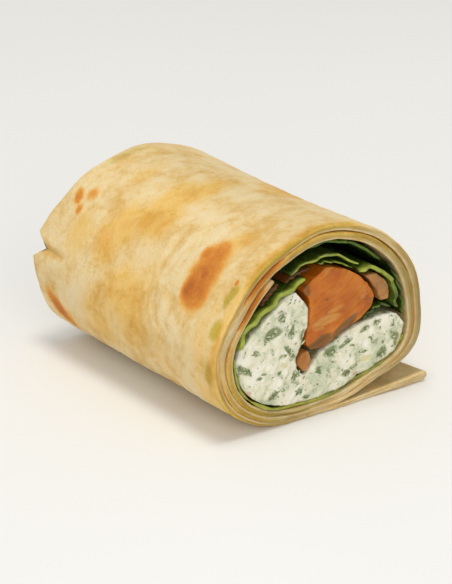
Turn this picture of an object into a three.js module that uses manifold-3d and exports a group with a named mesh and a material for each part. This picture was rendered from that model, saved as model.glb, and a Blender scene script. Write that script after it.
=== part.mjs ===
/**
 * Half of a salmon wrap, lying on its side. Millimetres, +Z up.
 *
 * X runs across the roll, Y along it and Z up from the surface that it lies on. The cut face
 * looks towards -Y. One sheet of flatbread is rolled round herb cream cheese, smoked salmon and
 * lettuce. Every piece is drawn in the cut face as an outline in (x, z) and runs through the
 * roll to its far end, and one bend of space gives them all the roll's uneven form.
 */
import * as THREE from 'three';
import { mergeVertices } from 'three/addons/utils/BufferGeometryUtils.js';
import Module from 'manifold-3d';

// ------------------------------------------------------------------ driving dimensions

const LENGTH = 68; // from the cut to the far end
const CENTRE_X = 1.5; // middle of the roll in the cut face
const CENTRE_Z = 21;
const BOX_SHIFT_X = -0.64; // brings the middle of the whole part onto the origin
const BOX_SHIFT_Y = -0.7;

// Outer radius of the roll about its middle, every 22.5 degrees from +X towards +Z.
const ROLL_RADII = [
  29.2, 28.2, 26.7, 25.6, // right to top
  25.2, 24.4, 25.1, 26.2, // top to left
  29, 28.8, 26.1, 22.8, // left to bottom
  21, 22.3, 24.9, 30.2, // bottom to right
];

// The sheet towards the right, the top, the left and the bottom, where the weight presses it.
const LAYER_PITCH = [2.2, 2, 1.85, 1.2];
const SHEET_THICKNESS = [1.85, 1.6, 1.5, 0.98];

const ROLL_START = -75; // degrees: where the flat tail starts to bend up round the roll
const ROLL_TURNS = 2.43; // turns from there to the inner end, clockwise in the cut face
const DIVE_START = 0.8; // of each turn: where the sheet starts to pass inside the turn before
const DIVE_END = 0.96;

const TAIL_REACH = 32.7; // x of the tail's free edge
const TAIL_THICKNESS = 2.5; // at its free edge
const TAIL_LIFT = 0.35; // of the free edge above the table
const TAIL_SLANT = 12; // how much less far the free edge reaches at the far end

const FAR_SKEW = -3.2; // sideways run of the roll from the cut to the far end
const FAR_SWELL = 2.6; // how much fuller the far end is
const FAR_SWELL_TOWARDS = 135; // degrees from +X
const FAR_SINK = 1.3; // how much lower its top lies
const MID_SAG = 0.7; // how far the top sinks at mid length

const TEAR_TOWARDS = 169; // degrees from +X: a tear in the far edge of the outer turn
const TEAR = [-2, 2.1, 1.2, 0.5]; // how far the edge stands out, from the tear's middle on
const UNEVEN_EDGE = 0.25;

const LEAF_FRILL = 0.45; // of a leaf's cut edge, in and out
const CLEARANCE = 0.38; // between two pieces
const FACET_ALLOWANCE = 0.12; // more of it where flat facets follow a bend
const LINING_THICKNESS = 0.7; // thin lettuce between the sheet and the cream
const TOP_LEAF_THICKNESS = 1.2;
const SIDE_LEAF_THICKNESS = 0.8;

// ------------------------------------------------------------------ numbers and curves

const TURN = 2 * Math.PI;
const radians = THREE.MathUtils.degToRad;
const { lerp, smoothstep } = THREE.MathUtils;

/** A smooth value in a direction (degrees) from a table spread evenly round the full circle. */
function around(table, degrees) {
  const count = table.length;
  const place = ((((degrees % 360) + 360) % 360) / 360) * count;
  const first = Math.floor(place);
  const [a, b, c, d] = [-1, 0, 1, 2].map((step) => table[(first + step + count) % count]);
  const t = place - first;
  const slopeB = (c - a) / 2;
  const slopeC = (d - b) / 2;
  return (
    b * (2 * t ** 3 - 3 * t ** 2 + 1) +
    slopeB * (t ** 3 - 2 * t ** 2 + t) +
    c * (3 * t ** 2 - 2 * t ** 3) +
    slopeC * (t ** 3 - t ** 2)
  );
}

/** A repeatable random number from 0 to 1 for each call. */
function seededRandom(seed) {
  let state = seed;
  return () => {
    state = (state * 1664525 + 1013904223) % 4294967296;
    return state / 4294967296;
  };
}

/** The bend of space that all the pieces share, from the straight roll to the real one. */
function bend(x, y, z) {
  const along = y / LENGTH + 0.5;
  const aside = x - CENTRE_X;
  const above = z - CENTRE_Z;
  const towards = Math.cos(Math.atan2(above, aside) - radians(FAR_SWELL_TOWARDS));
  const swell = (FAR_SWELL * smoothstep(along, 0.1, 1.05) * Math.max(0, towards) ** 4) / ROLL_RADII[6];
  const sag = ((MID_SAG * Math.sin(Math.PI * along) + FAR_SINK * along) * z) / (2 * CENTRE_Z);
  return new THREE.Vector3(
    x + swell * aside + FAR_SKEW * along + BOX_SHIFT_X,
    y + BOX_SHIFT_Y,
    Math.max(0, z + swell * above - sag),
  );
}

// ------------------------------------------------------------------ closed solids

/**
 * A closed block from a grid of nu by nv cells in the section and nw cells along the roll.
 * point(u, v, w) gives a corner, each from 0 to 1. Opposite walls are split alike.
 */
function gridBlock(nu, nv, nw, point) {
  const position = [];
  const index = [];
  const known = new Map();
  const at = (i, j, k) => {
    const key = (k * (nv + 1) + j) * (nu + 1) + i;
    if (!known.has(key)) {
      known.set(key, position.length / 3);
      position.push(...point(i / nu, j / nv, k / nw).toArray());
    }
    return known.get(key);
  };
  const quad = (a, b, c, d) => index.push(a, b, c, a, c, d);

  for (let i = 0; i < nu; i++) {
    for (let j = 0; j < nv; j++) {
      quad(at(i, j, 0), at(i + 1, j, 0), at(i + 1, j + 1, 0), at(i, j + 1, 0));
      quad(at(i, j, nw), at(i, j + 1, nw), at(i + 1, j + 1, nw), at(i + 1, j, nw));
    }
  }
  for (let k = 0; k < nw; k++) {
    for (let i = 0; i < nu; i++) {
      quad(at(i, 0, k), at(i, 0, k + 1), at(i + 1, 0, k + 1), at(i + 1, 0, k));
      quad(at(i, nv, k), at(i + 1, nv, k), at(i + 1, nv, k + 1), at(i, nv, k + 1));
    }
    for (let j = 0; j < nv; j++) {
      quad(at(0, j, k), at(0, j + 1, k), at(0, j + 1, k + 1), at(0, j, k + 1));
      quad(at(nu, j, k), at(nu, j, k + 1), at(nu, j + 1, k + 1), at(nu, j + 1, k));
    }
  }
  const geometry = new THREE.BufferGeometry();
  geometry.setAttribute('position', new THREE.Float32BufferAttribute(position, 3));
  geometry.setIndex(facingOut(position, index));
  return geometry;
}

/** The triangles turned so that they face out of the solid. */
function facingOut(position, index) {
  let volume = 0;
  const corner = (n) => new THREE.Vector3().fromArray(position, 3 * index[n]);
  for (let n = 0; n < index.length; n += 3) {
    volume += corner(n).dot(corner(n + 1).cross(corner(n + 2)));
  }
  return volume > 0 ? index : index.reverse();
}

/** A smooth curve through points [x, z] or [x, z, thickness] of the section. */
function smoothCurve(points) {
  const corners = points.map(([x, z, thickness = 0]) => new THREE.Vector3(x, z, thickness));
  return new THREE.CatmullRomCurve3(corners, false, 'centripetal');
}

/** Points (x, z, thickness) spaced evenly along a smooth line through the given ones. */
const rail = (points, steps) => smoothCurve(points).getSpacedPoints(steps);

/** The direction square to a rail at one of its points. */
function squareTo(points, n) {
  const before = points[Math.max(0, n - 1)];
  const after = points[Math.min(points.length - 1, n + 1)];
  const run = new THREE.Vector2(after.x - before.x, after.y - before.y).normalize();
  return new THREE.Vector2(-run.y, run.x);
}

/** How far a piece reaches past the plane of the cut (negative: set back) at each end. */
const FLUSH = { near: 0, far: 0 };

const EDGE_SHARE = 0.6; // of a sheet's thickness, left at its long edges
const LENGTHWISE_WAVES = 2.3; // ripples of a leaf from one end to the other
const END_BULGE = 0.5; // of a thick filling out of its cut

/** The place along Y of a section, from w = 0 at the near end to w = 1 at the far end. */
function sectionY(w, ends) {
  return lerp(-LENGTH / 2 - ends.near, LENGTH / 2 + ends.far, w);
}

/** Which way is out of the food at w: -1 at the near end, 1 at the far end, 0 between them. */
const outwards = (w) => (w === 0 ? -1 : Number(w === 1));

/**
 * A thin sheet through the roll, along a rail in the section. It ripples square to itself by
 * wave, its cut edges are frilled by ruffle, torn(n, w) moves the edge at rail point n, and
 * drawn(n, w) moves it back along X.
 */
function sheetSolid(points, options) {
  const { rows, ends = FLUSH, wave = 0, ruffle = 0, waves = 2, torn = () => 0, drawn = () => 0 } = options;
  const steps = points.length - 1;
  return gridBlock(steps, 1, rows, (u, v, w) => {
    const n = Math.round(u * steps);
    const across = squareTo(points, n);
    const share = n === 0 || n === steps ? EDGE_SHARE : 1;
    const ripple = wave * Math.sin(TURN * (waves * u + LENGTHWISE_WAVES * w));
    const offset = ripple + (v - 0.5) * points[n].z * share;
    const frill = ruffle * Math.sin(TURN * (2 * waves * u + w)) + torn(n, w);
    const y = sectionY(w, ends) + outwards(w) * frill;
    return bend(points[n].x + across.x * offset - drawn(n, w), y, points[n].y + across.y * offset);
  });
}

/** How far an end of a thick filling stands out at (u, v): its relief, rounded at the edge. */
function endReach(u, v, relief) {
  return relief + END_BULGE * Math.min(1, 4 * Math.min(u, 1 - u), 3 * Math.min(v, 1 - v));
}

/** A thick filling between two rails with matching points, with relief(x, z) on its ends. */
function stripSolid(railA, railB, { steps, cells, rows, ends = FLUSH, relief = () => 0 }) {
  const [edgeA, edgeB] = [railA, railB].map((points) => smoothCurve(points).getPoints(steps));
  return gridBlock(steps, cells, rows, (u, v, w) => {
    const n = Math.round(u * steps);
    const spot = edgeA[n].clone().lerp(edgeB[n], v);
    const y = sectionY(w, ends) + outwards(w) * endReach(u, v, relief(spot.x, spot.y));
    return bend(spot.x, y, spot.y);
  });
}

// ------------------------------------------------------------------ the rolled sheet

/** How many turns deep the sheet lies at a turn of the roll: it steps in once a turn. */
function turnsDeep(turn) {
  const whole = Math.floor(turn);
  return whole + smoothstep(turn - whole, DIVE_START, DIVE_END);
}

/** The middle of the sheet (x, z, thickness) at a turn of the roll. */
function sheetPoint(turn) {
  const degrees = ROLL_START - 360 * turn;
  const thickness = around(SHEET_THICKNESS, degrees);
  const depth = turnsDeep(turn) * around(LAYER_PITCH, degrees) + thickness / 2;
  const radius = around(ROLL_RADII, degrees) - depth;
  const direction = radians(degrees);
  return [CENTRE_X + radius * Math.cos(direction), CENTRE_Z + radius * Math.sin(direction), thickness];
}

/** The radius of the hollow inside the sheet in a direction, from its innermost turn. */
function hollowRadius(degrees) {
  const last = (ROLL_START - degrees) / 360;
  const turn = last + Math.floor(ROLL_TURNS - last);
  const depth = turnsDeep(turn) * around(LAYER_PITCH, degrees) + around(SHEET_THICKNESS, degrees);
  return around(ROLL_RADII, degrees) - depth;
}

/** A point in a direction, at a depth inside the hollow of the sheet, square to its wall. */
function insideHollow(degrees, depth) {
  const wall = (direction) => {
    const ray = new THREE.Vector2(Math.cos(radians(direction)), Math.sin(radians(direction)));
    return ray.multiplyScalar(hollowRadius(direction));
  };
  const reach = 3; // degrees to each side that give the wall's slope
  const run = wall(degrees + reach).sub(wall(degrees - reach)).normalize();
  const spot = wall(degrees);
  return [CENTRE_X + spot.x - run.y * depth, CENTRE_Z + spot.y + run.x * depth];
}

/** The whole sheet from the tail's free edge, under the roll and round to the inner end. */
function sheetRail() {
  const points = [];
  const join = sheetPoint(0);
  const tailSteps = 4;
  const bendSteps = 80;
  const railSteps = 132;
  for (let n = 0; n < tailSteps; n++) {
    const left = 1 - n / tailSteps;
    const thickness = lerp(join[2], TAIL_THICKNESS, left);
    points.push([lerp(join[0], TAIL_REACH, left), TAIL_LIFT * left ** 2 + thickness / 2, thickness]);
  }
  for (let n = 0; n <= bendSteps; n++) {
    points.push(sheetPoint((ROLL_TURNS * n) / bendSteps));
  }
  return rail(points, railSteps);
}

/** How far each end of the sheet stands out, in mm: an uneven edge, torn at the far end. */
function tornEdge(points) {
  const torn = new THREE.Vector3(...sheetPoint((360 + ROLL_START - TEAR_TOWARDS) / 360));
  const distances = points.map((point) => point.distanceTo(torn));
  const middle = distances.indexOf(Math.min(...distances));
  return (n, w) => {
    const uneven = UNEVEN_EDGE * (Math.sin(n / 3.2) + 0.8 * Math.sin(n / 1.4 + 1));
    const tear = TEAR[Math.abs(n - middle)] ?? 0;
    return w === 1 ? uneven + tear : uneven / 2;
  };
}

/** How far the tail is drawn in at rail point n, in mm: its free edge runs at a slant. */
function slantedTail(points) {
  const join = sheetPoint(0)[0];
  const joined = points.findIndex((point) => point.x <= join);
  return (n, w) => {
    const left = (points[n].x - join) / (TAIL_REACH - join);
    return n < joined ? TAIL_SLANT * w * left ** 1.5 : 0;
  };
}

// ------------------------------------------------------------------ the fillings' outlines

/** Rail points along the inside of the hollow between two directions. */
function alongHollow(fromDegrees, toDegrees, depth, thickness, steps) {
  return Array.from({ length: steps + 1 }, (_, n) => {
    const [x, z] = insideHollow(lerp(fromDegrees, toDegrees, n / steps), depth);
    return [x, z, thickness];
  });
}

const withThickness = (points, thickness) => points.map(([x, z]) => [x, z, thickness]);

const LINING_DEPTH = CLEARANCE + FACET_ALLOWANCE + LINING_THICKNESS / 2;
const CREAM_DEPTH = LINING_DEPTH + LINING_THICKNESS / 2 + CLEARANCE + FACET_ALLOWANCE;

// The cream fills a V: its left arm leans to the left, and the salmon sits in the cleft.
const CREAM_DIRECTIONS = [186, 204, 222, 243, 268, 288, 303, 316, 328, 340, 351.5];
const CREAM_OUTSIDE = [
  [-6.7, 31.4],
  [-12.4, 27.7],
  [-17.3, 23.6],
  ...CREAM_DIRECTIONS.map((degrees) => insideHollow(degrees, CREAM_DEPTH)),
];
const CREAM_INSIDE = [
  [-5.1, 31.8],
  [-2.3, 27.5],
  [-2.7, 22.5],
  [-4, 18.4],
  [-5, 15.6],
  [-4.7, 13],
  [-2.4, 10.9],
  [0.1, 13.2],
  [3.2, 15.6],
  [7, 17.4],
  [11.5, 18.9],
  [16.5, 19.8],
  [21.2, 20],
  [23.9, 19.2],
];

const SALMON_LEFT = [
  [-1, 16.9],
  [-2.4, 19.6],
  [-1.7, 24],
  [-1.4, 29],
  [-2.8, 32],
  [-0.6, 34.2],
  [2.8, 36.1],
];
const SALMON_RIGHT = [
  [2.8, 16.5],
  [9, 19.7],
  [13.6, 21.3],
  [17, 25.2],
  [13.8, 30.6],
  [9.8, 33.7],
  [5.6, 35.5],
];

const DROP_LEFT = [[-2.6, 11.9], [-4.1, 14.2], [-3.2, 16.4]];
const DROP_RIGHT = [[-1.9, 11.9], [-0.9, 14.2], [-1.7, 16.6]];

const FLAKE_LEFT = [[19, 24], [18.2, 25.8], [16.4, 28.8], [14.7, 31]];
const FLAKE_RIGHT = [[21.3, 23.8], [21.2, 26.2], [19.9, 28.8], [17.6, 31]];

const LEFT_SLIVER = [[-13.9, 30.7, 1.2], [-12, 32.6, 2], [-9.4, 34.8, 1.6]];
const UPPER_SLIVER = [[-7.5, 34.8, 1.2], [-4, 36, 1.6], [-0.5, 36.6, 1]];

const LEFT_LEAF = [[-20.6, 21.9], [-17.8, 26.3], [-15, 28.4], [-12, 29.8], [-8, 32.3], [-2.4, 34.5]];
const BRIGHT_LEAF = [[-7, 36.8], [-3.6, 38.2], [0, 39], [4, 38.9], [8, 37.4], [12, 34.9]];
const RIGHT_LEAF = [[12.8, 32.9], [16.4, 32.7], [18.9, 31.4], [21.2, 29], [22.8, 26.4], [23.8, 21.2]];

const LEAVES = {
  leaf_top: {
    points: alongHollow(118, 34, CLEARANCE + TOP_LEAF_THICKNESS / 2 + 0.15, TOP_LEAF_THICKNESS, 8),
    ends: { near: -2.2, far: -1.6 },
    wave: 0.12,
    color: 0x1e2a08,
  },
  leaf_bright: {
    points: withThickness(BRIGHT_LEAF, 0.9),
    ends: { near: 0.1, far: 0 },
    wave: 0.22,
    color: 0x8a9a30,
  },
  leaf_inner: {
    points: withThickness([[1.8, 37], [5, 36.8], [8.5, 35.4], [11, 33.9]], 0.7),
    ends: { near: -1, far: -0.6 },
    wave: 0.1,
    color: 0x485f16,
  },
  leaf_left: {
    points: withThickness(LEFT_LEAF, 1.3),
    ends: { near: -0.5, far: -0.4 },
    wave: 0.12,
    color: 0x7b8c22,
  },
  leaf_right: {
    points: withThickness(RIGHT_LEAF, 1.1),
    ends: { near: -0.3, far: 0 },
    wave: 0.12,
    color: 0x738220,
  },
  leaf_side: {
    points: alongHollow(30.5, -5, CLEARANCE + FACET_ALLOWANCE + SIDE_LEAF_THICKNESS / 2, SIDE_LEAF_THICKNESS, 8),
    ends: { near: -0.9, far: -0.7 },
    wave: 0,
    color: 0x2f430d,
  },
  leaf_under: {
    points: withThickness([[14.4, 20.5], [16.4, 21.4], [18.7, 22.3], [20.8, 22.3], [22.2, 21.5]], 1.1),
    ends: { near: -0.9, far: -1 },
    wave: 0.1,
    color: 0x2b3a0c,
  },
  leaf_lining: {
    points: alongHollow(182, 343, LINING_DEPTH, LINING_THICKNESS, 20),
    ends: { near: -0.2, far: -0.2 },
    wave: 0,
    color: 0x7d8b2c,
  },
};

// ------------------------------------------------------------------ relief on the cut faces

const LUMP = { across: 5.2, fine: 2.2, height: 0.4 };
const FLAKE = { pitch: 3.1, slope: 30, height: 0.7 };

/** Lumps of soft cheese, in mm out of the cut. */
function lumps(x, z) {
  const swells = Math.sin((TURN * (x + 0.5 * z)) / LUMP.across);
  const hollows = Math.cos((TURN * (z - 0.4 * x)) / (1.3 * LUMP.across));
  const fine = Math.sin((TURN * (x - 0.7 * z)) / LUMP.fine);
  return LUMP.height * (swells * hollows + fine / 2);
}

/** Flakes of salmon, in mm out of the cut: steps that run up at a slope. */
function flakes(x, z) {
  const across = z * Math.cos(radians(FLAKE.slope)) - x * Math.sin(radians(FLAKE.slope));
  return FLAKE.height * (THREE.MathUtils.euclideanModulo(across / FLAKE.pitch, 1) - 0.5);
}

// ------------------------------------------------------------------ the meshes

/** A named mesh with a finish of its own. */
function piece(name, geometry, color, roughness) {
  const material = new THREE.MeshStandardMaterial({ color, roughness, metalness: 0 });
  const mesh = new THREE.Mesh(geometry, material);
  mesh.name = name;
  return mesh;
}

/** The sheet of flatbread, from its tail round to its inner end. */
function flatbread() {
  const points = sheetRail();
  const solid = sheetSolid(points, { rows: 8, torn: tornEdge(points), drawn: slantedTail(points) });
  return piece('tortilla', solid, 0xe6c88f, 0.75);
}

/** Every leaf of lettuce. */
function lettuce() {
  return Object.entries(LEAVES).map(([name, { points, ends, wave, color }]) => {
    const steps = THREE.MathUtils.clamp(Math.round(points.length * 2.4), 8, 24);
    const solid = sheetSolid(rail(points, steps), { rows: 6, ends, wave, ruffle: LEAF_FRILL });
    return piece(name, solid, color, 0.5);
  });
}

/** The salmon: the main piece, the drop under it, a flake beside it and two thin slivers. */
function salmon() {
  const ends = { near: -0.3, far: -0.3 };
  const setBack = { near: -1.2, far: -1 };
  const main = stripSolid(SALMON_LEFT, SALMON_RIGHT, { steps: 15, cells: 8, rows: 6, ends, relief: flakes });
  const drop = stripSolid(DROP_LEFT, DROP_RIGHT, { steps: 6, cells: 2, rows: 5, ends });
  const flake = stripSolid(FLAKE_LEFT, FLAKE_RIGHT, { steps: 8, cells: 2, rows: 5, ends });
  const sliver = (points) => sheetSolid(rail(points, 7), { rows: 5, ends: setBack, ruffle: LEAF_FRILL / 2 });
  return [
    piece('salmon_main', main, 0xbc682a, 0.45),
    piece('salmon_drop', drop, 0xa8683a, 0.45),
    piece('salmon_flake', flake, 0xa07346, 0.45),
    piece('salmon_sliver_left', sliver(LEFT_SLIVER), 0x5a2f0a, 0.5),
    piece('salmon_sliver_upper', sliver(UPPER_SLIVER), 0x64280a, 0.5),
  ];
}

const wasm = await Module();
wasm.setup();

/** A closed geometry as a solid that can be joined. */
function toSolid(geometry) {
  const merged = mergeVertices(geometry);
  return new wasm.Manifold(
    new wasm.Mesh({
      numProp: 3,
      vertProperties: new Float32Array(merged.attributes.position.array),
      triVerts: new Uint32Array(merged.index.array),
    }),
  );
}

/** A joined solid as a geometry. */
function toGeometry(solid) {
  const { vertProperties, triVerts } = solid.getMesh();
  const geometry = new THREE.BufferGeometry();
  geometry.setAttribute('position', new THREE.BufferAttribute(vertProperties, 3));
  geometry.setIndex(new THREE.BufferAttribute(triVerts, 1));
  return geometry;
}

/** One scrap of chopped herb: a flat pointed bit that lies at a slant in the cream's face. */
function herbScrap(x, y, z, length, turn) {
  const halfDeep = 0.55;
  const scrap = new THREE.OctahedronGeometry(1, 0);
  scrap.deleteAttribute('normal');
  scrap.deleteAttribute('uv');
  scrap.scale(length / 2, halfDeep, length / 5);
  scrap.rotateY(turn);
  const middle = bend(x, y, z);
  scrap.translate(middle.x, middle.y, middle.z);
  return scrap;
}

/** Herb cream cheese with the larger scraps of herb that stand out of both its faces. */
function herbCream() {
  const ends = { near: -0.3, far: -0.4 };
  const body = stripSolid(CREAM_OUTSIDE, CREAM_INSIDE, { steps: 36, cells: 6, rows: 6, ends, relief: lumps });
  const [outside, inside] = [CREAM_OUTSIDE, CREAM_INSIDE].map(smoothCurve);
  const random = seededRandom(11);
  const scrapsPerFace = 24;
  const sunk = 0.1;
  let solid = toSolid(body);
  for (const side of [-1, 1]) {
    for (let n = 0; n < scrapsPerFace; n++) {
      const u = lerp(0.05, 0.95, (n + 0.2 + 0.6 * random()) / scrapsPerFace);
      const v = lerp(0.22, 0.78, ((n * 0.382) % 1) * 0.8 + 0.2 * random());
      const spot = outside.getPoint(u).lerp(inside.getPoint(u), v);
      const reach = endReach(u, v, lumps(spot.x, spot.y)) - sunk;
      const y = side < 0 ? sectionY(0, ends) - reach : sectionY(1, ends) + reach;
      const scrap = herbScrap(spot.x, y, spot.y, lerp(1.4, 2.6, random()), Math.PI * random());
      solid = solid.add(toSolid(scrap));
    }
  }
  return piece('herb_cream', toGeometry(solid), 0xe3e0cc, 0.6);
}

const wrap = new THREE.Group();
wrap.name = 'salmon_wrap';
wrap.add(flatbread(), herbCream(), ...salmon(), ...lettuce());

export default wrap;
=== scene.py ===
"""Half of a salmon wrap that lies on its side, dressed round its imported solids.

Every piece is drawn in the roll's own straight space, in millimetres: an outline (x, z) in the
plane of the cut, run along Y. One bend of space, the same as the solids', gives all of them the
roll's uneven form, and it turns a place into metres last of all.
"""

import logging
import math
import random
from collections.abc import Callable
from dataclasses import dataclass, field
from enum import Enum

import bmesh
import bpy
from mathutils import Matrix, Vector, noise


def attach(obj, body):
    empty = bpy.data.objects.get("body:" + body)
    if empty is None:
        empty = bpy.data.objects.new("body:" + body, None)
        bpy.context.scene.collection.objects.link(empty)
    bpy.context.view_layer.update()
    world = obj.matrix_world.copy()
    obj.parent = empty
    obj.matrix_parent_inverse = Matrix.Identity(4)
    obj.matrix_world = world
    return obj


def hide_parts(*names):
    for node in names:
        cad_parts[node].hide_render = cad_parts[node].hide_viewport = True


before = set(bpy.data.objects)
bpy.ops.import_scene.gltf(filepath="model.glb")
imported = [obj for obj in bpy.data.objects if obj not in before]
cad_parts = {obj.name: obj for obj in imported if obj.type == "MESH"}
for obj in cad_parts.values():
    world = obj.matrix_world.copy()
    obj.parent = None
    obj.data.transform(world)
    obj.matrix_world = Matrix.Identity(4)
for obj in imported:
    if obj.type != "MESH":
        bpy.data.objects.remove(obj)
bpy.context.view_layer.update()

log = logging.getLogger("salmon_wrap")

MM = 0.001  # metres
PER_METRE = 1000  # millimetres
TURN = 2 * math.pi
BODY = "root"  # food has no joints, so all of it is one body

Numbers = tuple[float, ...]
Place = Callable[[float, float, float], Vector]


# ------------------------------------------------------------------ numbers and curves


def lerp(a: float, b: float, share: float) -> float:
    """A number between a and b."""
    return a + (b - a) * share


def clamp(value: float, low: float = 0.0, high: float = 1.0) -> float:
    """The value, kept from low to high."""
    return max(low, min(high, value))


def smoothstep(value: float, low: float, high: float) -> float:
    """An even S: 0 below low and 1 above high."""
    share = clamp((value - low) / (high - low))
    return share * share * (3 - 2 * share)


def around(table: Numbers, degrees: float) -> float:
    """A smooth value in a direction, from a table spread evenly round the circle.

    Args:
        table: Values from +X towards +Z.
        degrees: The direction, from +X towards +Z.

    Returns:
        The value there.
    """
    count = len(table)
    place = (degrees % 360) / 360 * count
    first = math.floor(place)
    a, b, c, d = (table[(first + step) % count] for step in (-1, 0, 1, 2))
    t = place - first
    return (
        b * (2 * t**3 - 3 * t**2 + 1)
        + (c - a) / 2 * (t**3 - 2 * t**2 + t)
        + c * (3 * t**2 - 2 * t**3)
        + (d - b) / 2 * (t**3 - t**2)
    )


def ripple(x: float, y: float, z: float = 0.0, seed: float = 0.0) -> float:
    """Smooth noise from about -1 to 1 at a place that is given in wavelengths."""
    return noise.noise(Vector((x, y + 37.1 * seed, z + 11.3 * seed)))


class Curve:
    """A smooth curve through points (x, z) or (x, z, thickness) of the section."""

    def __init__(self, points: tuple[Numbers, ...]) -> None:
        """Keep the points, with one more past each end.

        Args:
            points: What the curve runs through, in order.
        """
        corners = [Vector((*point[:2], point[2] if len(point) > 2 else 0.0)) for point in points]
        self.corners = [2 * corners[0] - corners[1], *corners, 2 * corners[-1] - corners[-2]]
        self.spans = len(corners) - 1

    def at(self, share: float) -> Vector:
        """The point at a share of the curve's spans.

        Args:
            share: From 0 at the first point to 1 at the last.

        Returns:
            x, z and thickness there.
        """
        place = clamp(share) * self.spans
        first = min(int(place), self.spans - 1)
        p0, p1, p2, p3 = self.corners[first : first + 4]
        d0, d1, d2 = ((b - a).length ** 0.5 for a, b in ((p0, p1), (p1, p2), (p2, p3)))
        slope1 = ((p1 - p0) / d0 - (p2 - p0) / (d0 + d1) + (p2 - p1) / d1) * d1
        slope2 = ((p2 - p1) / d1 - (p3 - p1) / (d1 + d2) + (p3 - p2) / d2) * d1
        t = place - first
        return (
            p1
            + slope1 * t
            + (-3 * p1 + 3 * p2 - 2 * slope1 - slope2) * t**2
            + (2 * p1 - 2 * p2 + slope1 + slope2) * t**3
        )


@dataclass
class RailPoint:
    """One place along a sheet's middle line in the section."""

    spot: Vector  # x, z
    square: Vector  # the unit direction across the sheet
    thickness: float
    distance: float  # mm along the rail


class Rail:
    """A sheet's middle line: where it runs, which way is across it, and how thick it is."""

    def __init__(self, samples: list[Vector]) -> None:
        """Measure the line.

        Args:
            samples: x, z and thickness at places that lie close together.
        """
        self.samples = samples
        self.distances = [0.0]
        for before, after in zip(samples, samples[1:]):
            step = math.hypot(after.x - before.x, after.y - before.y)
            self.distances.append(self.distances[-1] + step)
        self.length = self.distances[-1]

    def stations(self, step: Callable[[float], float]) -> list[RailPoint]:
        """Points along the rail, step(distance) apart.

        Args:
            step: The wanted spacing in mm at a distance along the rail.

        Returns:
            The points from the rail's start to its end.
        """
        places = [0.0]
        while places[-1] < self.length:
            places.append(places[-1] + step(places[-1]))
        scale = self.length / places[-1]
        found = []
        nearest = 0
        for place in (place * scale for place in places):
            while nearest < len(self.samples) - 2 and self.distances[nearest + 1] < place:
                nearest += 1
            span = self.distances[nearest + 1] - self.distances[nearest]
            here = self.samples[nearest].lerp(
                self.samples[nearest + 1], clamp((place - self.distances[nearest]) / span)
            )
            before = self.samples[max(0, nearest - 1)]
            after = self.samples[min(len(self.samples) - 1, nearest + 2)]
            run = Vector((after.x - before.x, after.y - before.y)).normalized()
            found.append(RailPoint(here.xy, Vector((-run.y, run.x)), here.z, place))
        return found


# ------------------------------------------------------------------ the form of the roll


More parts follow.
